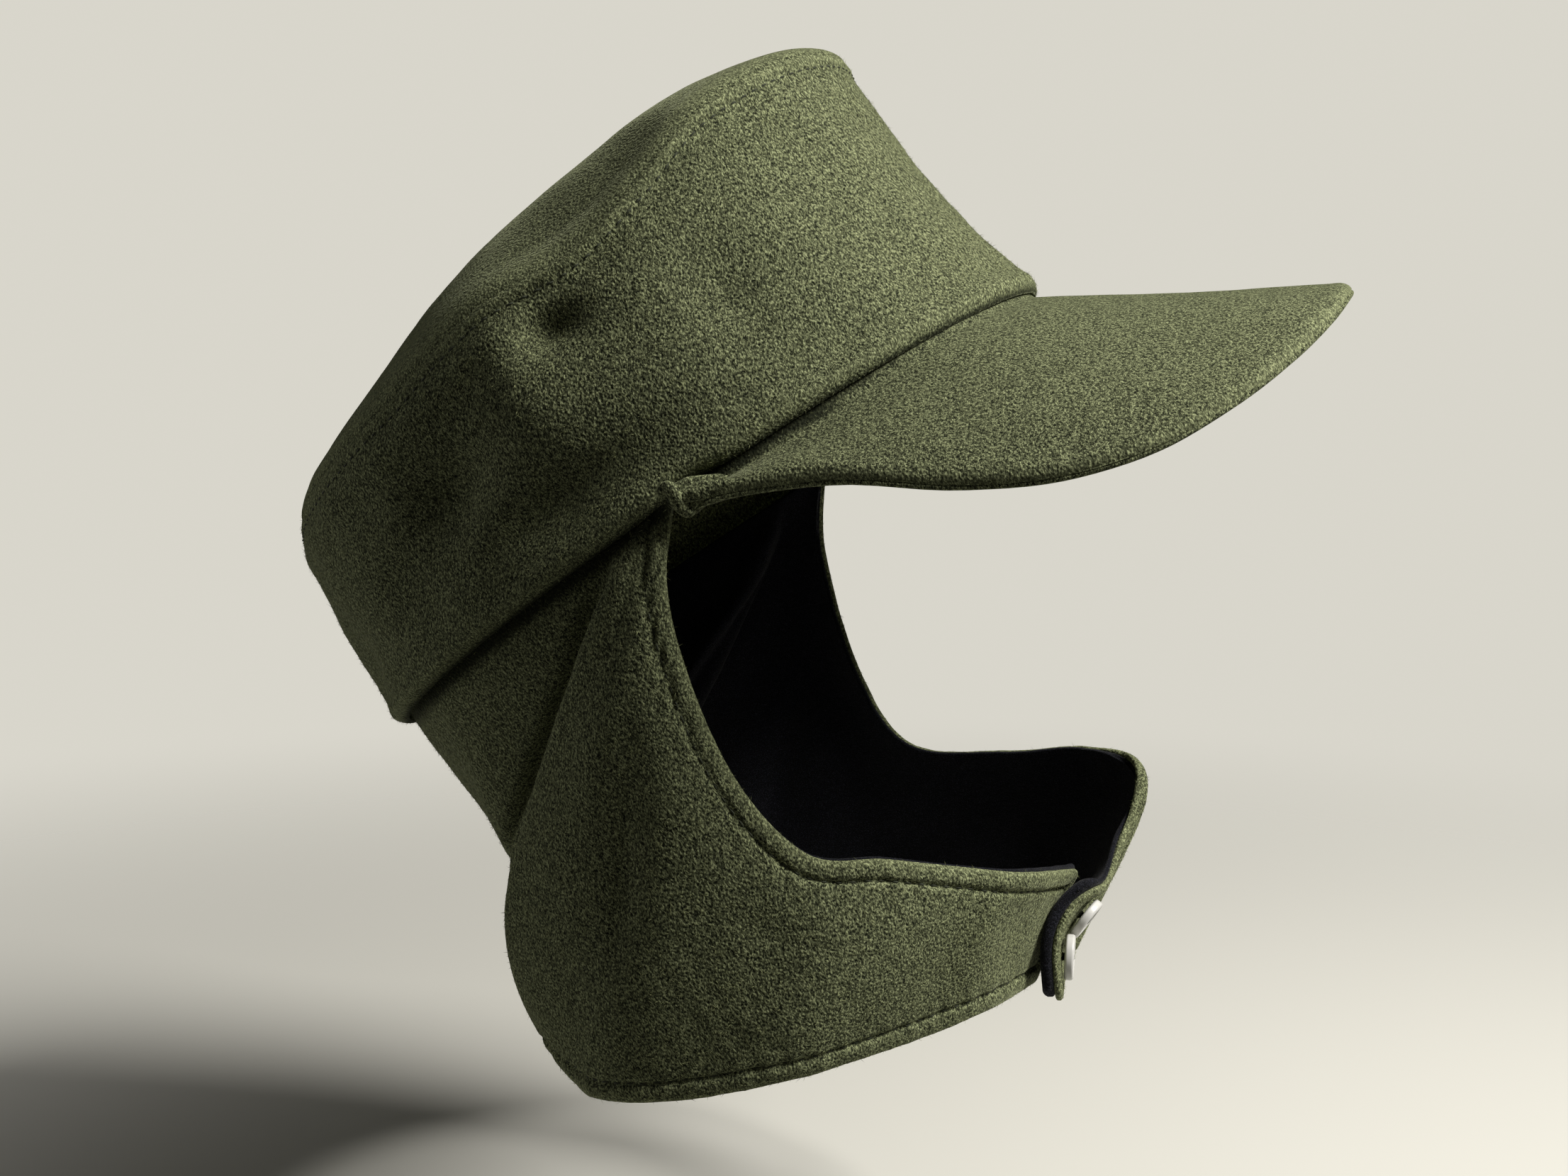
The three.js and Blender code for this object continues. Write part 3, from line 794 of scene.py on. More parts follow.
def wool_material(colours):
    """Fulled wool: a dark ground with green felt, and short pale fibres lying every way on it."""
    shader = Shader("felted wool")
    place = shader.place()
    felt = shader.noise(place, 2300, 0.0)
    clumps = shader.noise(place, 1450, 0.0)
    pale = fibre_streaks(shader, place, ((0.3, 0.9, 0.2), (0.9, 1.8, 2.2)), low=0.57, high=0.68)
    tone = felt * 0.5 + clumps * 0.5
    ground = shader.mix(shader.between(tone, 0.34, 0.66), tuple(colours.wool_dark), tuple(colours.wool_mid))
    # More pale fibres where the attribute "rim" says: painted sheen along the rims.
    share = pale * (0.3 + shader.between(clumps, 0.3, 0.66) * 0.6) + shader.attribute("rim") * 0.14
    colour = shader.mix(share, ground, tuple(colours.wool_light))
    # Painted shade: towards the dark wool where the second attribute says, in gaps and under edges.
    colour = shader.mix(shader.attribute("painted_shade") * 0.9, colour, tuple(colours.wool_dark))
    shader.set(base_color=colour, normal=shader.relief(clumps, 0.6, 0.0005), roughness=0.95)
    shader.set(sheen_weight=0.32, sheen_roughness=0.3, sheen_tint=(0.6, 0.64, 0.4), specular_ior_level=0.1)
    return shader.material


def peak_cloth_material(colours):
    """Smooth twill under the peak: fine slanted ribs over a slightly uneven dark green."""
    shader = Shader("smooth twill")
    place = shader.place()
    ribs = shader.node(
        "ShaderNodeTexWave", {"wave_type": "BANDS", "bands_direction": "DIAGONAL"},
        {"Vector": place, "Scale": 420.0, "Distortion": 1.2, "Detail": 1.0, "Detail Scale": 2.0}, "Fac")
    uneven = shader.noise(place, 700, 3.0, 0.6)
    patches = shader.noise(place, 45, 2.0, 0.5)
    tone = ribs * 0.35 + uneven * 0.45 + patches * 0.3
    colour = shader.mix(shader.between(tone, 0.3, 0.85), tuple(colours.peak_dark), tuple(colours.peak_light))
    normal = shader.relief(ribs * 0.6 + uneven * 0.4, 0.5, 0.0002)
    shader.set(base_color=colour, normal=normal, roughness=0.82 + uneven * 0.12)
    shader.set(sheen_weight=0.12, sheen_roughness=0.4, specular_ior_level=0.25)
    return shader.material


def lining_material(colours):
    """Brushed navy cloth: nearly black, with short pale fibres in it."""
    shader = Shader("brushed lining")
    place = shader.place()
    nap = shader.noise(place, 1400, 3.0, 0.65, 1.0)
    specks = fibre_streaks(shader, place, ((0.8, 0.4, 1.9),), low=0.6)
    ground = shader.mix(
        shader.between(nap, 0.35, 0.7), tuple(0.45 * c for c in colours.lining),
        tuple(1.5 * c for c in colours.lining))
    colour = shader.mix(specks * 0.5, ground, tuple(colours.lining_speck))
    normal = shader.relief(nap + specks * 0.5, 0.7, 0.0004)
    shader.set(base_color=colour, normal=normal, roughness=0.95 - specks * 0.1)
    shader.set(sheen_weight=0.08, sheen_roughness=0.5, specular_ior_level=0.15)
    return shader.material


def button_material(colours):
    """Pale moulded button with faint clouding and fine scratches."""
    shader = Shader("moulded button")
    place = shader.place()
    clouds = shader.noise(place, 260, 3.0, 0.55)
    scratches = shader.noise(
        shader.node("ShaderNodeMapping", inputs={"Vector": place, "Scale": (900, 6000, 900)}), 1.0, 2.0)
    shade = tuple(0.86 * c for c in colours.button)
    colour = shader.mix(shader.between(clouds, 0.3, 0.75), tuple(colours.button), shade)
    normal = shader.relief(scratches, 0.15, 0.00005)
    shader.set(base_color=colour, normal=normal, roughness=0.28 + clouds * 0.14)
    shader.set(specular_ior_level=0.5)
    return shader.material


def thread_material(colours):
    """Twisted thread: slanted darker bands along its length."""
    shader = Shader("sewing thread")
    place = shader.place()
    twist = shader.node(
        "ShaderNodeTexWave", {"wave_type": "BANDS", "bands_direction": "DIAGONAL"},
        {"Vector": place, "Scale": 1500.0, "Distortion": 0.4}, "Fac")
    lighter = tuple(2.2 * c for c in colours.thread)
    colour = shader.mix(twist, tuple(colours.thread), lighter)
    normal = shader.relief(twist, 0.4, 0.0001)
    shader.set(base_color=colour, normal=normal, roughness=0.7 + twist * 0.1)
    return shader.material


def fibre_material(name, colour):
    """Loose fibres of one tint, matt."""
    shader = Shader(name)
    shader.set(base_color=tuple(colour), roughness=0.8, specular_ior_level=0.25)
    return shader.material


def dress(piece, make, *values):
    """Gives a piece the material that a function makes, which is made once for the same values."""
    key = (make.__name__, *values[1:])
    if key not in made_materials:
        made_materials[key] = make(*values)
    piece.data.materials.append(made_materials[key])


def sizes_in_mm(context):
    """The property group's lengths in millimetres."""
    group = context.scene.cap_sizes
    return {key: getattr(group, key) / MM for key in CapSizes.__annotations__}


# Operators

class CAP_OT_crown(bpy.types.Operator):
    """Builds the crown's wall and its top panel"""

    bl_idname = "cap.crown"
    bl_label = "Crown"

    def execute(self, context):
        cloth = sizes_in_mm(context)["crown_cloth"]
        colours = context.scene.cap_colours
        theta = np.linspace(-math.pi, math.pi, CROWN_GRID["around"] + 1)[:-1, None]
        self.wall(theta, cloth, colours)
        self.top(theta, cloth, colours)
        return {"FINISHED"}

    def wall(self, theta, cloth, colours):
        """Wall: rolled at the base, with a raised ridge just under the top seam, stronger at the pucker."""
        height = np.linalg.norm(top_seam(theta) - ring(theta, 0, 0), axis=-1)
        low = rim_steps(*CROWN_GRID["wall_rim"])
        middle = np.linspace(0, 1, CROWN_GRID["wall_rows"])[None, 1:-1]
        middle = low[-1] + (height - 2 * low[-1]) * middle
        above_base = np.concatenate([low + 0 * height, middle, height - low[::-1]], 1)
        v = above_base / height
        around = theta + 0 * v
        points = wall_point(around, v)
        pocket = bump(np.abs(turned(around)) - TEMPLE_POCKET["angle"], TEMPLE_POCKET["angle_span"])
        pocket = pocket * bump(above_base, TEMPLE_POCKET["height"])
        points[..., 2] += TEMPLE_POCKET["rise"] * pocket
        normals = grid_normals(points, True)
        below_seam = height - above_base
        ridge = bands(SEAM_BANDS, below_seam, puckers(WALL_PUCKERS, around))
        behind = np.clip((np.abs(turned(around)) - BACK_SWELL["angle"]) / BACK_SWELL["fade"], 0, 1)
        swell = BACK_SWELL["height"] * bump(below_seam - BACK_SWELL["at"], BACK_SWELL["span"]) * behind
        roll = bands(BASE_BANDS, above_base) - TEMPLE_POCKET["depth"] * pocket
        waves, fine = (soft_waves(points, *row) for row in WAVES["wall"])
        waves = waves * np.minimum(1, above_base / 8) * np.minimum(1, below_seam / 8)
        shape = (ridge + swell + roll + waves + fine) * np.minimum(1, below_seam / 0.8)
        base_round = rounding(above_base, cloth / 2)
        seam_round = rounding(below_seam, cloth)
        near_base = above_base < height / 2
        out = np.where(near_base, -cloth / 2 * (1 - base_round), 0)
        inn = np.where(near_base, -cloth / 2 * (1 + base_round), -cloth * seam_round)
        outer = crown_to_head(points + normals * (shape + out)[..., None])
        inner = crown_to_head(points + normals * (shape + inn)[..., None])
        # Painted sheen on the rolled base and the ridge under the top seam; painted shade on the lower edge.
        rim = 0.7 * bump(above_base - 2.4, 1.2) + 0.8 * bump(below_seam - 2, 1.2)
        piece = shell("wool_wall", outer, inner, closed=True, painted_sheen=rim, painted_shade=bump(above_base, 0.75))
        faces_of["wool_wall"] = (outer, 1, True)
        column = -1 - int(np.argmin(np.abs(low - SEAM_STITCHES)))
        line, ups = (np.concatenate([grid[:, column], grid[:1, column]]) for grid in (outer, normals))
        lines_of["seam"] = (line, crown_to_head(ups))
        dress(piece, wool_material, colours)
        seat(piece, ["crown_side"])

    def top(self, theta, cloth, colours):
        """Top panel: its edge turns down over the shoulder's width, onto the wall's upper rim."""
        reach = TOP["from_middle"]
        rim = rim_steps(*CROWN_GRID["top_rim"])
        inward = np.linspace(0, 1, CROWN_GRID["top_rows"])[1:] ** 1.1
        from_edge = np.concatenate([rim, rim[-1] + (reach - rim[-1]) * inward])
        share = (1 - from_edge / reach)[None, ::-1]
        around = theta + 0 * share
        share = share + 0 * theta
        points = top_point(around, share)
        edge_distance = (1 - share) * reach
        points[..., 2] += SHOULDER["rise"] * rounding(edge_distance, SHOULDER["width"])
        normals = grid_normals(points, True)
        normals[:, 0] = (0, 0, 1)
        normals = np.where(normals[..., 2:] < 0, -normals, normals)
        waves, fine = (soft_waves(points, *row) for row in WAVES["top"])
        waves = (waves * np.minimum(1, edge_distance / 10) + fine) * np.minimum(1, edge_distance / 0.8)
        lift = bands(TOP_BANDS, edge_distance, puckers(TOP_PUCKERS, around)) + waves
        lift[:, 0] = lift[0, 0]
        seam_round = rounding(edge_distance, cloth)
        outer = crown_to_head(points + normals * lift[..., None])
        inner = crown_to_head(points + normals * (lift - cloth * seam_round)[..., None])
        # Painted sheen near the panel's edge.
        piece = shell("wool_top", outer, inner, closed=True, pole=True, painted_sheen=bump(edge_distance - 2, 2))
        faces_of["wool_top"] = (outer, 1, True)
        dress(piece, wool_material, colours)
        seat(piece, ["crown_top"])


def peak_grid():
    """Grid of the peak's upper face, its root turned up behind the wall, in the crown's frame."""
    last = math.radians(PEAK_ROOT["last_angle"])
    side_steps = rim_steps(*PEAK_GRID["side_rim"]) / PEAK_GRID["ring_radius"]
    inside = np.linspace(side_steps[-1], 2 * last - side_steps[-1], PEAK_GRID["around"])[1:-1]
    theta = (-last + np.concatenate([side_steps, inside, 2 * last - side_steps[::-1]]))[:, None]
    length = np.linalg.norm(peak_point(theta, theta * 0 + 1) - peak_point(theta, theta * 0), axis=-1)
    length = np.maximum(length, PEAK_GRID["least_length"])
    near = 1 - rim_steps(*PEAK_GRID["edge_rim"])[::-1] / length
    root = np.array(RIM[:4]) / length - PEAK_ROOT["tuck"] / length
    inner = np.linspace(0, 1, PEAK_GRID["rows"])[None, 1:-1]
    inner = root[:, -1:] + (near[:, :1] - root[:, -1:]) * inner
    s = np.concatenate([root, inner, near], 1)
    points = peak_point(theta + 0 * s, s)
    ends = np.clip((last - np.abs(theta)) / math.radians(PEAK_ROOT["end_fade"]), 0, 1)
    points[..., 2] += PEAK_ROOT["turn_up"] * ends * np.clip(-s * length / PEAK_ROOT["turn_width"], 0, 1)
    normals = grid_normals(points)
    normals = np.where(normals[..., 2:] < 0, -normals, normals)
    return points, normals


class CAP_OT_peak(bpy.types.Operator):
    """Builds the peak's wool upper, its smooth underside and the seam between them"""

    bl_idname = "cap.peak"
    bl_label = "Peak"

    def execute(self, context):
        size = sizes_in_mm(context)
        colours = context.scene.cap_colours
        points, normals = peak_grid()
        from_edge = distance_to(points, dense(points[:, -1]))
        ends = np.concatenate([dense(points[0]), dense(points[-1])])
        from_root = distance_to(points, dense(points[:, 0]))
        from_rim = np.minimum(np.minimum(from_edge, from_root), distance_to(points, ends))
        # Painted shade on the root under the crown's edge, fading out towards the free edge.
        painted_shade = np.clip((PEAK_ROOT["dark"] - from_root) / PEAK_ROOT["dark_fade"], 0, 1)
        painted_shade = painted_shade * np.clip(from_edge / PEAK_ROOT["dark_to_edge"], 0, 1)
        curl = -1.1 * np.maximum(0, 1 - from_edge / 5) ** 2
        waves = sum(soft_waves(points, *row) for row in WAVES["peak"]) * np.minimum(1, from_edge / 6)
        upper, under = size["peak_wool"], size["peak_under"]
        middle = curl + waves - upper / 2
        # Painted sheen along the free edge.
        rim = bump(from_edge, 1.6)
        swell = 0.55 * bump(from_edge - 2.2, 1.7)
        piece, outer = self.layer("wool_peak", points, normals, middle, upper + swell, from_rim, rim, painted_shade)
        faces_of["wool_peak"] = (outer, 1, False)
        dress(piece, wool_material, colours)
        seat(piece, ["peak_upper"])
        middle = curl + waves - upper - under / 2 + 0.05
        piece, _ = self.layer("peak_underside", points, normals, middle, under, from_rim, rim)
        dress(piece, peak_cloth_material, colours)
        seat(piece, ["peak_under"])
        self.edge_seam(points, normals, curl + waves - upper, colours)
        return {"FINISHED"}

    def layer(self, name, points, normals, middle, cloth, from_rim, rim, painted_shade=None):
        """One cloth of the peak: its middle surface with half the cloth on both sides, round at the rim."""
        half = cloth / 2 * rounding(from_rim, np.mean(cloth) / 2 + 0.2)
        outer = crown_to_head(points + normals * (middle + half)[..., None])
        inner = crown_to_head(points + normals * (middle - half)[..., None])
        return shell(name, outer, inner, painted_sheen=rim, painted_shade=painted_shade), outer

    def edge_seam(self, points, normals, level, colours):
        """Thin ridge of wool folded between the two cloths along the peak's free edge."""
        line = points[:, -1] + normals[:, -1] * level[:, -1:]
        out = unit(points[:, -1] - points[:, -6])
        line = dense(line - out * PEAK_SEAM["set_back"], PEAK_SEAM["step"])
        round_ends = np.minimum(1, from_ends(len(line)) / 3 + 0.1)
        rings = tube(line, PEAK_SEAM["width"] * round_ends, PEAK_SEAM["thick"] * round_ends, (0, 0, 1), 14)
        piece = tubes("peak_edge_seam", crown_to_head(rings)[None])
        dress(piece, wool_material, colours)
        seat(piece)


def flap_grid(side, reach_top=0.0, reach_bottom=0.0, reach_end=0.0):
    """Grid of one flap's outer face; a reach moves its free rims out, in millimetres."""
    columns, temple = flap_sections(side)
    last = len(columns["bottom"]) - 1
    end_steps = (rim_steps(*FLAP_GRID["end_rim"]) - reach_end) / FLAP_GRID["end_length"]
    back_steps = rim_steps(*FLAP_GRID["nape_rim"])[::-1] / FLAP_GRID["nape_length"]
    inside = np.linspace(end_steps[-1], last - back_steps[0], FLAP_GRID["along_section"] * last)[1:-1]
    t = np.concatenate([end_steps, inside, last - back_steps])[:, None]
    line = np.linspace(0, 1, 25)[None]
    coarse = flap_point(side, t + 0 * line, line + 0 * t)
    length = np.linalg.norm(np.diff(coarse, axis=1), axis=-1).sum(1)[:, None]
    free = np.clip((temple - t) * 2, 0, 1)
    rim = rim_steps(*FLAP_GRID["rim"])
    top = (rim - reach_top * free) / length
    bottom = 1 - (rim[::-1] - reach_bottom) / length
    inner = np.linspace(0, 1, FLAP_GRID["rows"])[None, 1:-1]
    inner = top[:, -1:] + (bottom[:, :1] - top[:, -1:]) * inner
    v = np.concatenate([top, inner, bottom], 1)
    ends = flap_point(side, np.array([[0.0, 1.0]]), np.array([[0.5, 0.5]]))[0]
    from_end = np.clip(t * np.linalg.norm(ends[1] - ends[0]) + reach_end, 0, CORNER_RADIUS)
    drawn_in = CORNER_RADIUS * (1 - rounding(from_end, CORNER_RADIUS)) / length
    v = drawn_in + v * (1 - 2 * drawn_in)
    t = t + 0 * v
    points = flap_point(side, t, v)
    outward = unit(grid_normals(points) * -side * (1, 1, 0), 0.3)
    drop = np.clip((v - FLARE["from_drop"]) / (1 - FLARE["from_drop"]), 0, 1)
    flare = FLARE["height"] * drop ** FLARE["growth"]
    flare = flare * np.interp(t - temple, FLARE["from_temple"], (0, 1, 1, 0))
    points = points + outward * flare[..., None]
    normals = grid_normals(points) * -side
    normals[-1, :, 1] = 0
    normals[-1] = unit(normals[-1])
    free_columns = t[:, 0] <= temple
    edge = np.concatenate([dense(points[free_columns, 0]), dense(points[0]), dense(points[:, -1])])
    hung = dense(points[~free_columns, 0])
    return {"t": t, "v": v, "points": points, "normals": normals, "edge": edge, "hung": hung,
            "temple": temple, "last": last}


def rim_distances(grid):
    """Distance of a flap's points from its free edge, and from any of its rims."""
    points = grid["points"]
    from_edge = distance_to(points, grid["edge"])
    from_rim = np.minimum(from_edge, distance_to(points, grid["hung"]))
    return from_edge, np.minimum(from_rim, distance_to(points, dense(points[-1])))


def crossing(distance, points, level):
    """Points where the distance first passes a level along each row, and the rows where it does."""
    passes = (distance[:, :-1] < level) & (distance[:, 1:] >= level)
    k = passes.argmax(1)
    rows = np.arange(len(distance))
    low, high = distance[rows, k], distance[rows, k + 1]
    part = ((level - low) / np.maximum(high - low, 1e-9))[:, None]
    return points[rows, k] * (1 - part) + points[rows, k + 1] * part, passes.any(1)


def hem_line(grid, outer, from_edge, hem):
    """Line of the top stitching: along the cheek, down the front end and back along the bottom."""
    rows, columns = from_edge.shape
    free = grid["t"][:, 0] < grid["temple"] - HEM["before_temple"]
    upper, found_upper = crossing(from_edge[:, : columns // 2], outer[:, : columns // 2], hem)
    backward = slice(None, columns // 2 - 1, -1)
    lower, found_lower = crossing(from_edge[:, backward], outer[:, backward], hem)
    front = from_edge[: rows // 4].T
    end, found_end = crossing(front, outer[: rows // 4].swapaxes(0, 1), hem)
    first = upper[found_upper & free][::-1]
    last = lower[found_lower & (grid["t"][:, 0] < grid["last"] - HEM["before_nape"])]
    start_gap = np.linalg.norm(end - first[-1], axis=1)
    end_gap = np.linalg.norm(end - last[0], axis=1)
    keep = np.arange(int(start_gap.argmin()) + 1, int(end_gap.argmin()))
    middle = end[keep][found_end[keep]]
    return np.concatenate([first, middle, last])


def crease_shape(grid):
    """Height of the crease: a rounded ridge with a steep back and a shallow valley behind it."""
    lengths = np.linalg.norm(np.diff(grid["points"], axis=0), axis=-1)
    arc = np.concatenate([np.zeros((1, lengths.shape[1])), np.cumsum(lengths, 0)])
    drop = grid["v"][len(grid["v"]) // 2]
    at = grid["temple"] + np.interp(drop, CREASE["drop"], CREASE["after_temple"])
    strength = np.interp(drop, CREASE["drop"], CREASE["strength"])
    t = grid["t"][:, 0]
    middle = np.array([np.interp(at[k], t, arc[:, k]) for k in range(len(drop))])
    behind = arc - middle
    ridge = np.where(behind < 0, bump(behind, CREASE["front_span"]), bump(behind, CREASE["back_span"]))
    valley = bump(behind - CREASE["valley_at"], CREASE["valley_span"]) * (behind > 0)
    valley = valley * np.minimum(1, np.maximum(behind, 0) / 3)
    return strength * (CREASE["ridge"] * ridge - CREASE["valley"] * valley)


class CAP_OT_flaps(bpy.types.Operator):
    """Builds the two ear flaps of wool with their stitched hems, and their linings"""

    bl_idname = "cap.flaps"
    bl_label = "Ear flaps"

    def execute(self, context):
        size = sizes_in_mm(context)
        colours = context.scene.cap_colours
        for name, side in (("right", -1), ("left", 1)):
            self.wool(name, side, size, colours)
            self.lining(name, side, size, colours)
        return {"FINISHED"}

    def wool(self, name, side, size, colours):
        """Flap: its hem swells a little and is pressed in along the line of stitches."""
        grid = flap_grid(side)
        points, normals = grid["points"], grid["normals"]
        from_edge, from_rim = rim_distances(grid)
        hem = size["hem_width"]
        welt = HEM["welt"] * bump(from_edge - 0.5 * hem, 0.36 * hem)
        welt = welt - HEM["pressed"] * bump(from_edge - hem, HEM["pressed_span"])
        along = grid["t"] * 30 + grid["v"] * 22
        ripples = HEM["ripple"] * np.sin(along * (2 * math.pi / HEM["ripple_length"]))
        ripples = ripples * bump(from_edge - hem, HEM["ripple_span"])
        inside = np.minimum(1, from_rim / 10)
        waves, fine = (soft_waves(points, *row) for row in WAVES[f"flap_{name}"])
        folds = fold_heights(side, grid["t"], grid["v"]) + crease_shape(grid)
        shape = folds * inside + (waves * inside + fine)
        cloth = size["flap_cloth"]
        round_share = rounding(from_rim, cloth / 2)
        lift = shape - cloth / 2 * (1 - round_share) + (welt + ripples) * round_share
        outer = points + normals * lift[..., None]
        inner = points + normals * (shape - cloth / 2 * (1 + round_share))[..., None]
        # Painted shade under the crown's edge where the flap hangs, and on the right flap's front end under
        # the left flap's end; painted sheen along the free edge.
        painted_shade = np.clip((6.4 - distance_to(points, grid["hung"])) / 2.6, 0, 1)
        if side < 0:
            painted_shade = np.maximum(painted_shade, 0.85 * bump(distance_to(points, dense(points[0])), 4.5))
        piece = shell(f"wool_flap_{name}", outer, inner, painted_sheen=bump(from_edge, 1.6), painted_shade=painted_shade)
        faces_of[f"wool_flap_{name}"] = (outer, -side, False)
        lines_of[name] = hem_line(grid, outer, from_edge, hem)
        shapes_of[name] = shape
        dress(piece, wool_material, colours)
        seat(piece, [f"flap_{name}"])

    def lining(self, name, side, size, colours):
        """Lining: against the wool's inner side, standing out a little at the cheek and the front end."""
        grid = flap_grid(side, *LINING_REACH)
        points, normals = grid["points"], grid["normals"]
        from_edge, from_rim = rim_distances(grid)
        from_end = distance_to(points, dense(points[0]))
        cloth = size["lining_cloth"] + LINING_END[name] * bump(from_end - 2, 5)
        half = cloth / 2 * rounding(from_rim, 0.9)
        middle = shapes_of[name] - size["flap_cloth"] - cloth / 2 + 0.1
        outer = points + normals * (middle + half)[..., None]
        inner = points + normals * (middle - half)[..., None]
        piece = shell(f"lining_{name}", outer, inner, painted_sheen=bump(from_edge, 2))
        dress(piece, lining_material, colours)
        seat(piece, [f"flap_lining_{name}"])


def stitches(name, line, ups, size, rng):
    """Row of stitches on a line: short tubes whose ends dip into the cloth, each a little askew."""
    total = running_length(line)[-1]
    starts = np.arange(0.5, total - size["stitch_length"], size["stitch_pitch"])
    share = np.linspace(0, 1, 7)
    places = starts[:, None] + share * size["stitch_length"]
    centres = points_along(line, places)
    up = unit(points_along(ups, places / total * running_length(ups)[-1]))
    forward = unit(np.gradient(centres, axis=1))
    side = unit(np.cross(forward, up))
    dip = (np.sin(share * math.pi) - 0.75) * size["thread_width"] * 1.1
    askew = (share - 0.5) * rng.normal(0, 0.12, (len(starts), 1))
    centres = centres + up * dip[None, :, None] + side * askew[..., None]
    width = size["thread_width"] * np.minimum(1, 0.35 + 3 * np.minimum(share, 1 - share))
    turn = np.arange(6) * (math.pi / 3)
    ring_of = np.cos(turn)[:, None] * side[:, :, None] + np.sin(turn)[:, None] * up[:, :, None]
    return tubes(name, centres[:, :, None] + ring_of * width[None, :, None, None] / 2)


def nearest_normals(line, grid, side):
    """Outward normals of a grid at the grid points nearest to a line's points."""
    normals = grid_normals(grid).reshape(-1, 3) * side
    flat = grid.reshape(-1, 3)
    found = []
    for part in np.array_split(line, max(1, len(line) // 100)):
        squared = ((part[:, None] - flat[None]) ** 2).sum(-1)
        found.append(normals[squared.argmin(1)])
    return np.concatenate(found)


class CAP_OT_stitching(bpy.types.Operator):
    """Sews the top stitching along the flaps' hems and beside the top seam"""

    bl_idname = "cap.stitching"
    bl_label = "Stitching"

    def execute(self, context):
        size = sizes_in_mm(context)
        colours = context.scene.cap_colours
        rng = np.random.default_rng(41)
        for name, side in (("right", -1), ("left", 1)):
            line = lines_of[name]
            ups = nearest_normals(line, faces_of[f"wool_flap_{name}"][0], -side)
            piece = stitches(f"hem_stitches_{name}", line, ups, size, rng)
            dress(piece, thread_material, colours)
            seat(piece)
        line, ups = lines_of["seam"]
        piece = stitches("seam_stitches", line, ups, size, rng)
        dress(piece, thread_material, colours)
        seat(piece)
        return {"FINISHED"}


def button_profile():
    """Half section of the button from the middle of its face to the middle of its back, corners rounded."""
    radius, thick, rim, well = (BUTTON[k] for k in ("radius", "thickness", "rim", "well"))
    turn = np.linspace(0, math.pi / 2, 7)
    floor = np.linspace(0, well, 13)
    face = [(x, thick - rim) for x in floor]
    share = np.linspace(0, 1, 7)[1:]
    slope = [(well + rim * s, thick - rim + rim * (3 * s ** 2 - 2 * s ** 3)) for s in share]
    shoulder = [(radius - rim + rim * math.sin(a), thick - rim + rim * math.cos(a)) for a in turn]
    foot = [(radius - rim + rim * math.cos(a), rim - rim * math.sin(a)) for a in turn]
    back = [(x, 0.0) for x in np.linspace(radius - rim, 0, 8)[1:]]
    return np.array(face + slope + shoulder + foot + back)


class CAP_OT_buttons(bpy.types.Operator):
    """Sews two buttons with crossed threads on the left flap's front end"""

    bl_idname = "cap.buttons"
    bl_label = "Buttons"

    def execute(self, context):
        size = sizes_in_mm(context)
        colours = context.scene.cap_colours
        for name, (section, drop) in BUTTON_PLACES.items():
            turn = self.frame_at(section, drop)
            self.disc(name, turn, colours)
            self.thread(name, turn, size, colours)
        return {"FINISHED"}

    def frame_at(self, section, drop):
        """Seat of a button: its place and the directions across, up and out of the cloth."""
        step = 0.02
        t = np.array([[section, section + step, section]])
        v = np.array([[drop, drop, drop + step]])
        at = flap_point(1, t, v)[0]
        outward = np.cross(at[1] - at[0], at[2] - at[0])
        outward *= np.sign(outward[0]) / np.linalg.norm(outward)
        across = unit(np.cross((0, 0, 1), outward))
        rise = np.cross(outward, across)
        return at[0] + BUTTON["seat"] * outward, np.stack([across, rise, outward])

    def disc(self, name, turn, colours):
        """Disc of revolution of the profile with four holes pressed into its face."""
        place, axes = turn
        profile = button_profile()
        angle = np.arange(72) * (2 * math.pi / 72)
        x = profile[:, 0] * np.cos(angle)[:, None]
        y = profile[:, 0] * np.sin(angle)[:, None]
        spread = BUTTON["hole_spread"]
        from_hole = np.hypot(np.abs(x) - spread, np.abs(y) - spread) / BUTTON["hole_radius"]
        faces_front = profile[:, 1] > BUTTON["thickness"] / 2
        z = profile[:, 1] - BUTTON["hole_depth"] * faces_front * bump(from_hole, 0.9) ** 0.6
        points = np.stack([x, y, z], -1) @ axes + place
        ids = np.arange(points.shape[0] * points.shape[1]).reshape(points.shape[:2])
        ids[:, 0] = ids[0, 0]
        ids[:, -1] = ids[0, -1]
        piece, _ = put_faces(f"{name}_disc", points.reshape(-1, 3), cell_faces(ids, True))
        dress(piece, button_material, colours)
        seat(piece, [name])

    def thread(self, name, turn, size, colours):
        """Two crossed pairs of threads over the face, and the shank wound between button and cloth."""
        place, axes = turn
        spread = BUTTON["hole_spread"]
        level = BUTTON["thickness"] - BUTTON["rim"]
        share = np.linspace(0, 1, 9)
        rings = []
        for sign in (-1, 1):
            for shift in (-0.22, 0.22):
                x = spread * (1 - 2 * share) + shift
                y = sign * spread * (1 - 2 * share) - sign * shift
                z = level - 0.5 + 0.95 * np.sin(share * math.pi) ** 0.5
                line = np.stack([x, y, z], -1)
                width = size["thread_width"] * 0.9
                rings.append(tube(line, width, width, (0, 0, 1), 8))
        winding = np.linspace(0, 1, 9)
        radius = 1.1 + 0.12 * np.sin(winding * 5 * math.pi)
        line = np.stack([0 * winding, 0 * winding, 0.1 - winding * (BUTTON["seat"] + 0.5)], -1)
        rings.append(tube(line, 2 * radius, 2 * radius, (1, 0, 0), 8))
        piece = tubes(f"{name}_thread", np.stack(rings) @ axes + place)
        dress(piece, thread_material, colours)
        seat(piece)


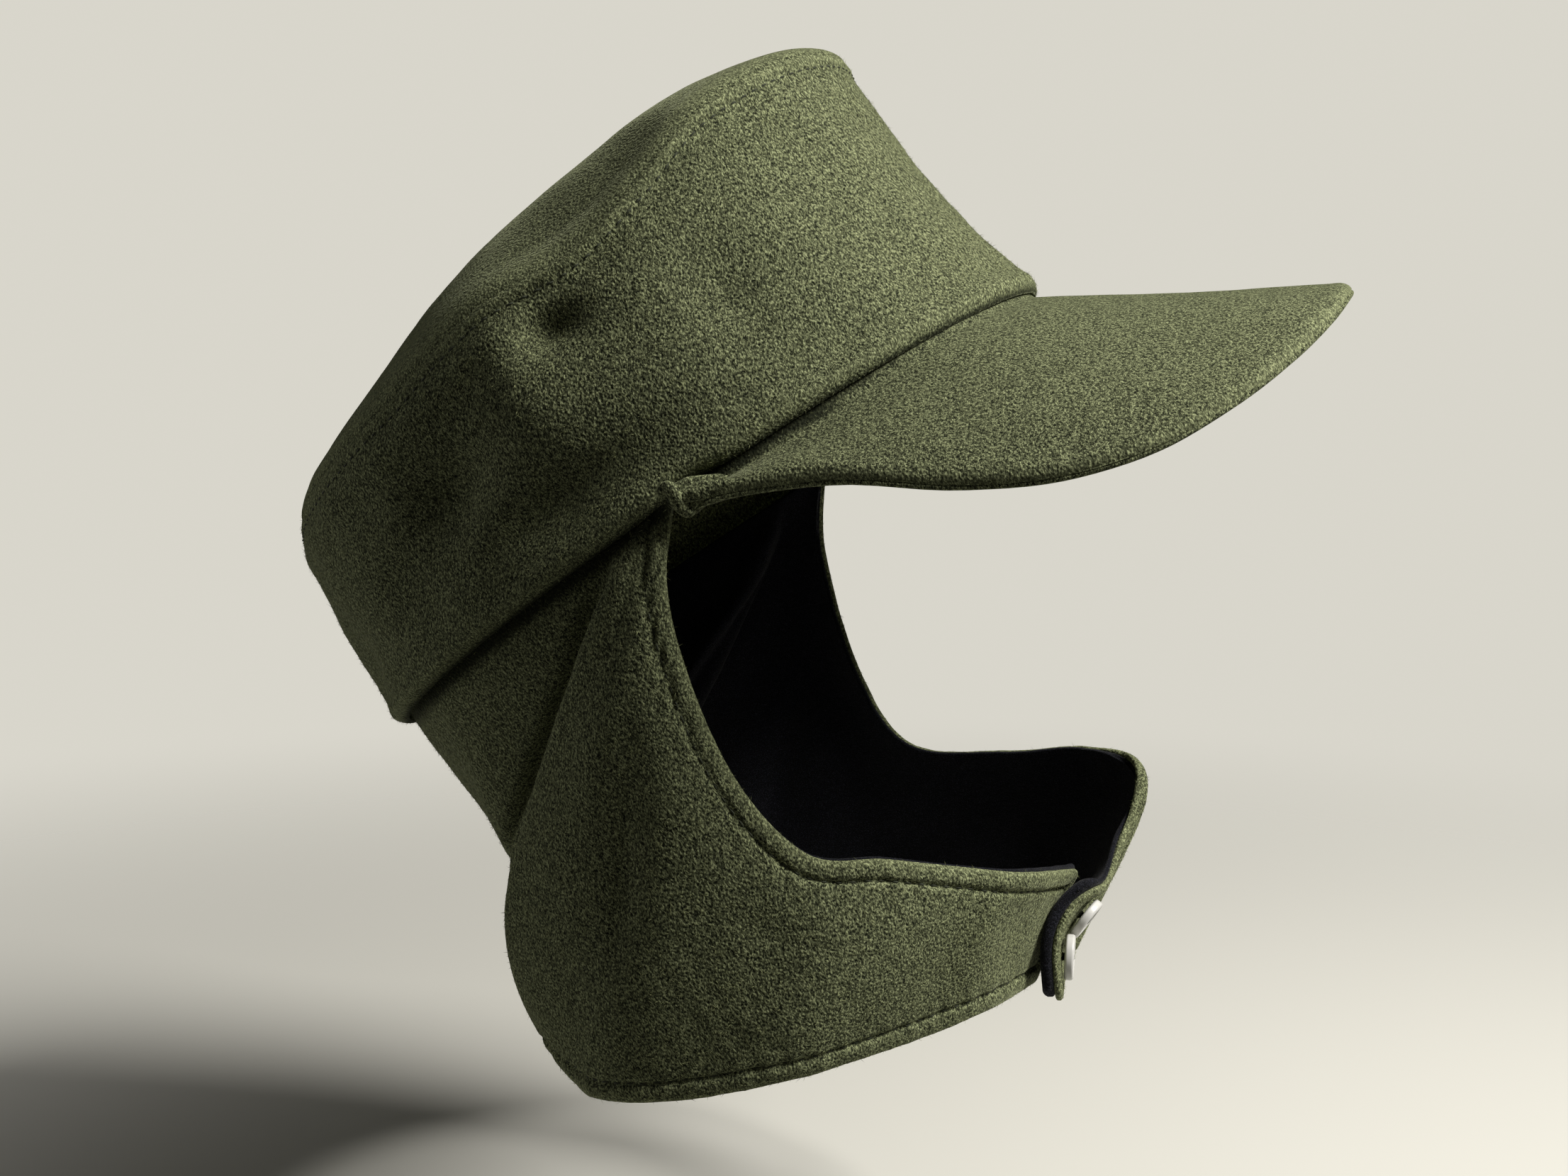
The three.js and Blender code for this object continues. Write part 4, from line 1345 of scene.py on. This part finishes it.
class CAP_OT_temples(bpy.types.Operator):
    """Folds the gathered cloth above both temples, between flap, crown and peak"""

    bl_idname = "cap.temples"
    bl_label = "Temples"

    def execute(self, context):
        colours = context.scene.cap_colours
        for name, mirror in (("right", 1), ("left", -1)):
            rings = [self.fold(mirror)]
            rings += [self.gather(row, mirror) for row in TEMPLE_GATHERS]
            piece = tubes(f"temple_folds_{name}", np.stack(rings))
            dress(piece, wool_material, colours)
            seat(piece)
        return {"FINISHED"}

    def fold(self, mirror):
        """The flap's corner: a flat roll along a smooth line."""
        t = np.linspace(0, 6, 33)
        columns = [np.array(TEMPLE_FOLD[key], float) for key in ("x", "y", "z", "width")]
        x, y, z, width = (smooth_through(c, 2 * c[0] - c[1], 2 * c[-1] - c[-2], t) for c in columns)
        line = np.stack([x, mirror * y, z], -1)
        return self.soft_ends(tube(line, width, 1.9, (0, -mirror, 0.15), 14))

    def gather(self, row, mirror):
        """One soft roll from point to point, arched by its rise."""
        share = np.linspace(0, 1, 33)
        low, high = np.array(row["from"], float), np.array(row["to"], float)
        line = low + (high - low) * share[:, None]
        line[:, 2] += row["rise"] * np.sin(share * math.pi)
        line[:, 1] *= mirror
        width = row["width"] * np.interp(share, (0, 0.4, 1), (0.6, 1, 0.2))
        return self.soft_ends(tube(line, width, row["thick"], (0, -mirror, 0.1), 14))

    def soft_ends(self, rings):
        """Draws the first and last rings in, so that the roll ends round."""
        middles = rings.mean(1, keepdims=True)
        share = np.sqrt(np.clip(from_ends(len(rings)) / 3, 0.02, 1))
        return middles + (rings - middles) * share[:, None, None]


def scattered(grid, side, closed, count, rng):
    """Seeded random places on a grid's faces, even by area, with their normals."""
    normals = grid_normals(grid, closed) * side
    after = np.roll(grid, -1, 0) if closed else grid[1:]
    after_normals = np.roll(normals, -1, 0) if closed else normals[1:]
    rows = len(after)
    corners = [g[:rows, :-1].reshape(-1, 3) for g in (grid, normals)]
    beyond = [g[:, :-1].reshape(-1, 3) for g in (after, after_normals)]
    beside = grid[:rows, 1:].reshape(-1, 3)
    area = np.linalg.norm(np.cross(beyond[0] - corners[0], beside - corners[0]), axis=1)
    cell = rng.choice(len(area), count, p=area / area.sum())
    a, b = rng.random((2, count, 1))
    place = corners[0][cell] + (beyond[0] - corners[0])[cell] * a + (beside - corners[0])[cell] * b
    return place, corners[1][cell]


def fibre_points(place, normal, size, lift, rng):
    """Slender spikes: three root corners just in the cloth and a tip, leaning at random."""
    count = len(place)
    aside = unit(np.cross(normal, rng.normal(size=(count, 3))))
    lean = rng.gamma(1.3, lift, (count, 1))
    way = unit(aside + normal * np.minimum(lean, 1.1))
    across = unit(np.cross(way, normal))
    rise = np.cross(across, way)
    long = size["fibre_length"] * rng.uniform(0.5, 1.5, (count, 1))
    thick = size["fibre_width"] * rng.uniform(0.7, 1.4, (count, 1))
    root = place - normal * 0.02
    tip = root + way * long
    corners = [root + across * thick * 0.5, root - across * thick * 0.5, root + rise * thick * 0.7]
    return np.stack([*corners, tip], 1)


class CAP_OT_fibres(bpy.types.Operator):
    """Scatters the wool's loose fibres over the outer faces"""

    bl_idname = "cap.fibres"
    bl_label = "Fibres"

    def execute(self, context):
        size = sizes_in_mm(context)
        rng = np.random.default_rng(7)
        areas = {name: self.area(grid) for name, (grid, _, _) in faces_of.items()}
        whole = sum(areas.values())
        for tint, row in FIBRES.items():
            spikes = []
            for name, (grid, side, closed) in faces_of.items():
                count = int(row["count"] * areas[name] / whole)
                place, normal = scattered(grid, side, closed, count, rng)
                spikes.append(fibre_points(place, normal, size, row["lift"], rng))
            self.tufts(f"fibres_{tint}", np.concatenate(spikes), row["colour"])
        return {"FINISHED"}

    def area(self, grid):
        """Area of a grid: the sum of its cells' cross products."""
        sides = np.cross(grid[1:, :-1] - grid[:-1, :-1], grid[:-1, 1:] - grid[:-1, :-1])
        return np.linalg.norm(sides, axis=-1).sum()

    def tufts(self, name, spikes, colour):
        """One mesh of four-faced spikes, made from whole arrays."""
        count = len(spikes)
        corners = np.array([(0, 2, 1), (0, 1, 3), (1, 2, 3), (2, 0, 3)])
        faces = (np.arange(count)[:, None, None] * 4 + corners).reshape(-1)
        mesh = bpy.data.meshes.new(name)
        mesh.vertices.add(4 * count)
        mesh.vertices.foreach_set("co", (spikes * MM).astype(np.float32).ravel())
        mesh.loops.add(len(faces))
        mesh.loops.foreach_set("vertex_index", faces.astype(np.int32))
        mesh.polygons.add(len(faces) // 3)
        mesh.polygons.foreach_set("loop_start", np.arange(0, len(faces), 3, dtype=np.int32))
        mesh.update(calc_edges=True)
        piece = put_object(name, mesh)
        dress(piece, fibre_material, name, colour)
        seat(piece)


def stage_material():
    """Pale floor that fades out with the distance and shows nothing from below.

    Seen by other rays than the camera's it is darker, most of all on the side towards the camera,
    so that the room behind the camera lights the cap as little as in the photograph.
    """
    shader = Shader("floor")
    place = shader.place()
    far = shader.node("ShaderNodeVectorMath", {"operation": "LENGTH"}, {0: place}, "Value")
    depth = shader.node("ShaderNodeSeparateXYZ", inputs={0: place}, output="Y")
    seen = shader.node("ShaderNodeLightPath", output="Is Camera Ray")
    below = shader.node("ShaderNodeNewGeometry", output="Backfacing")
    clear = shader.node("ShaderNodeBsdfTransparent")
    gone = below.math("MAXIMUM", below, shader.between(far, *FLOOR["fade"]))
    bounced = shader.mix(shader.between(depth, *FLOOR["depths"]), FLOOR["near"], FLOOR["far"])
    shader.set(base_color=shader.mix(seen, bounced, FLOOR["seen"]), roughness=0.9)
    solid = Value(shader, shader.surface.outputs[0])
    mixed = shader.node("ShaderNodeMixShader", inputs={0: gone, 1: solid, 2: clear})
    shader.feed(shader.tree.nodes["Material Output"].inputs["Surface"], mixed)
    return shader.material


class CAP_OT_stage(bpy.types.Operator):
    """Sets the pale floor, the soft lights and the camera"""

    bl_idname = "cap.stage"
    bl_label = "Stage"

    def execute(self, context):
        self.camera(context.scene)
        self.floor()
        self.lights()
        self.world(context.scene)
        return {"FINISHED"}

    def camera(self, scene):
        """Camera on a sphere round the aim point, with the photograph's focal length."""
        data = bpy.data.cameras.new("camera")
        data.sensor_width = 36
        data.lens = PHOTO["focal"] / PHOTO["width"] * data.sensor_width
        data.clip_start = 0.01
        camera = put_object("camera", data)
        a, e = math.radians(PHOTO["azimuth"]), math.radians(PHOTO["elevation"])
        back = Vector((math.sin(a) * math.cos(e), -math.cos(a) * math.cos(e), math.sin(e)))
        camera.location = Vector(AIM) * MM + back * PHOTO["distance"] * MM
        camera.rotation_mode = "QUATERNION"
        camera.rotation_quaternion = back.to_track_quat("Z", "Y")
        scene.camera = camera

    def floor(self):
        """Large round floor below the cap."""
        turn = np.linspace(0, 2 * math.pi, FLOOR["corners"] + 1)[:-1]
        height = 0 * turn + FLOOR_HEIGHT * MM
        points = np.stack([FLOOR["radius"] * np.cos(turn), FLOOR["radius"] * np.sin(turn), height], -1)
        mesh = bpy.data.meshes.new("floor")
        mesh.from_pydata(points.tolist(), [], [list(range(FLOOR["corners"]))])
        mesh.materials.append(stage_material())
        floor = put_object("floor", mesh)

    def lights(self):
        """A soft key light from the front and above, and weak ones from the camera's side and the back."""
        for lamp in LAMPS:
            data = bpy.data.lights.new(lamp["name"], "AREA")
            data.shape = "DISK"
            data.size = lamp["size"]
            data.energy = lamp["power"]
            data.color = LAMP_COLOUR
            light = put_object(lamp["name"], data)
            way = Vector(lamp["way"]).normalized()
            light.location = way * lamp["distance"]
            light.visible_camera = False
            light.rotation_mode = "QUATERNION"
            light.rotation_quaternion = way.to_track_quat("Z", "Y")

    def world(self, scene):
        """Pale room: the backdrop's colour where it is seen, and a weaker even light from it."""
        world = bpy.data.worlds.new("room")
        world.use_nodes = True
        tree = world.node_tree
        colour = (*scene.cap_colours.backdrop, 1)
        seen = tree.nodes["Background"]
        seen.inputs[0].default_value = colour
        seen.inputs[1].default_value = 1.0
        lit = tree.nodes.new("ShaderNodeBackground")
        lit.inputs[0].default_value = colour
        lit.inputs[1].default_value = ROOM_LIGHT
        path = tree.nodes.new("ShaderNodeLightPath")
        mixed = tree.nodes.new("ShaderNodeMixShader")
        tree.links.new(path.outputs["Is Camera Ray"], mixed.inputs[0])
        tree.links.new(lit.outputs[0], mixed.inputs[1])
        tree.links.new(seen.outputs[0], mixed.inputs[2])
        tree.links.new(mixed.outputs[0], tree.nodes["World Output"].inputs[0])
        scene.world = world
        scene.view_settings.view_transform = "Standard"


class CAP_PT_panel(bpy.types.Panel):
    """Lists the cap's sizes, colours and steps"""

    bl_label = "Field cap"
    bl_idname = "CAP_PT_panel"
    bl_space_type = "VIEW_3D"
    bl_region_type = "UI"
    bl_category = "Cap"

    def draw(self, context):
        for group in (context.scene.cap_sizes, context.scene.cap_colours):
            for key in type(group).__annotations__:
                self.layout.prop(group, key)
        for step in OPERATORS:
            self.layout.operator(step.bl_idname)


OPERATORS = (
    CAP_OT_stage, CAP_OT_crown, CAP_OT_peak, CAP_OT_flaps, CAP_OT_temples, CAP_OT_stitching, CAP_OT_buttons,
    CAP_OT_fibres)
CLASSES = (CapSizes, CapColours, *OPERATORS, CAP_PT_panel)


def register():
    for cls in CLASSES:
        bpy.utils.register_class(cls)
    bpy.types.Scene.cap_sizes = PointerProperty(type=CapSizes)
    bpy.types.Scene.cap_colours = PointerProperty(type=CapColours)


def unregister():
    del bpy.types.Scene.cap_sizes
    del bpy.types.Scene.cap_colours
    for cls in reversed(CLASSES):
        bpy.utils.unregister_class(cls)


def main():
    register()
    bpy.ops.cap.stage()
    bpy.ops.cap.crown()
    bpy.ops.cap.peak()
    bpy.ops.cap.flaps()
    bpy.ops.cap.temples()
    bpy.ops.cap.stitching()
    bpy.ops.cap.buttons()
    bpy.ops.cap.fibres()


if __name__ == "__main__":
    main()
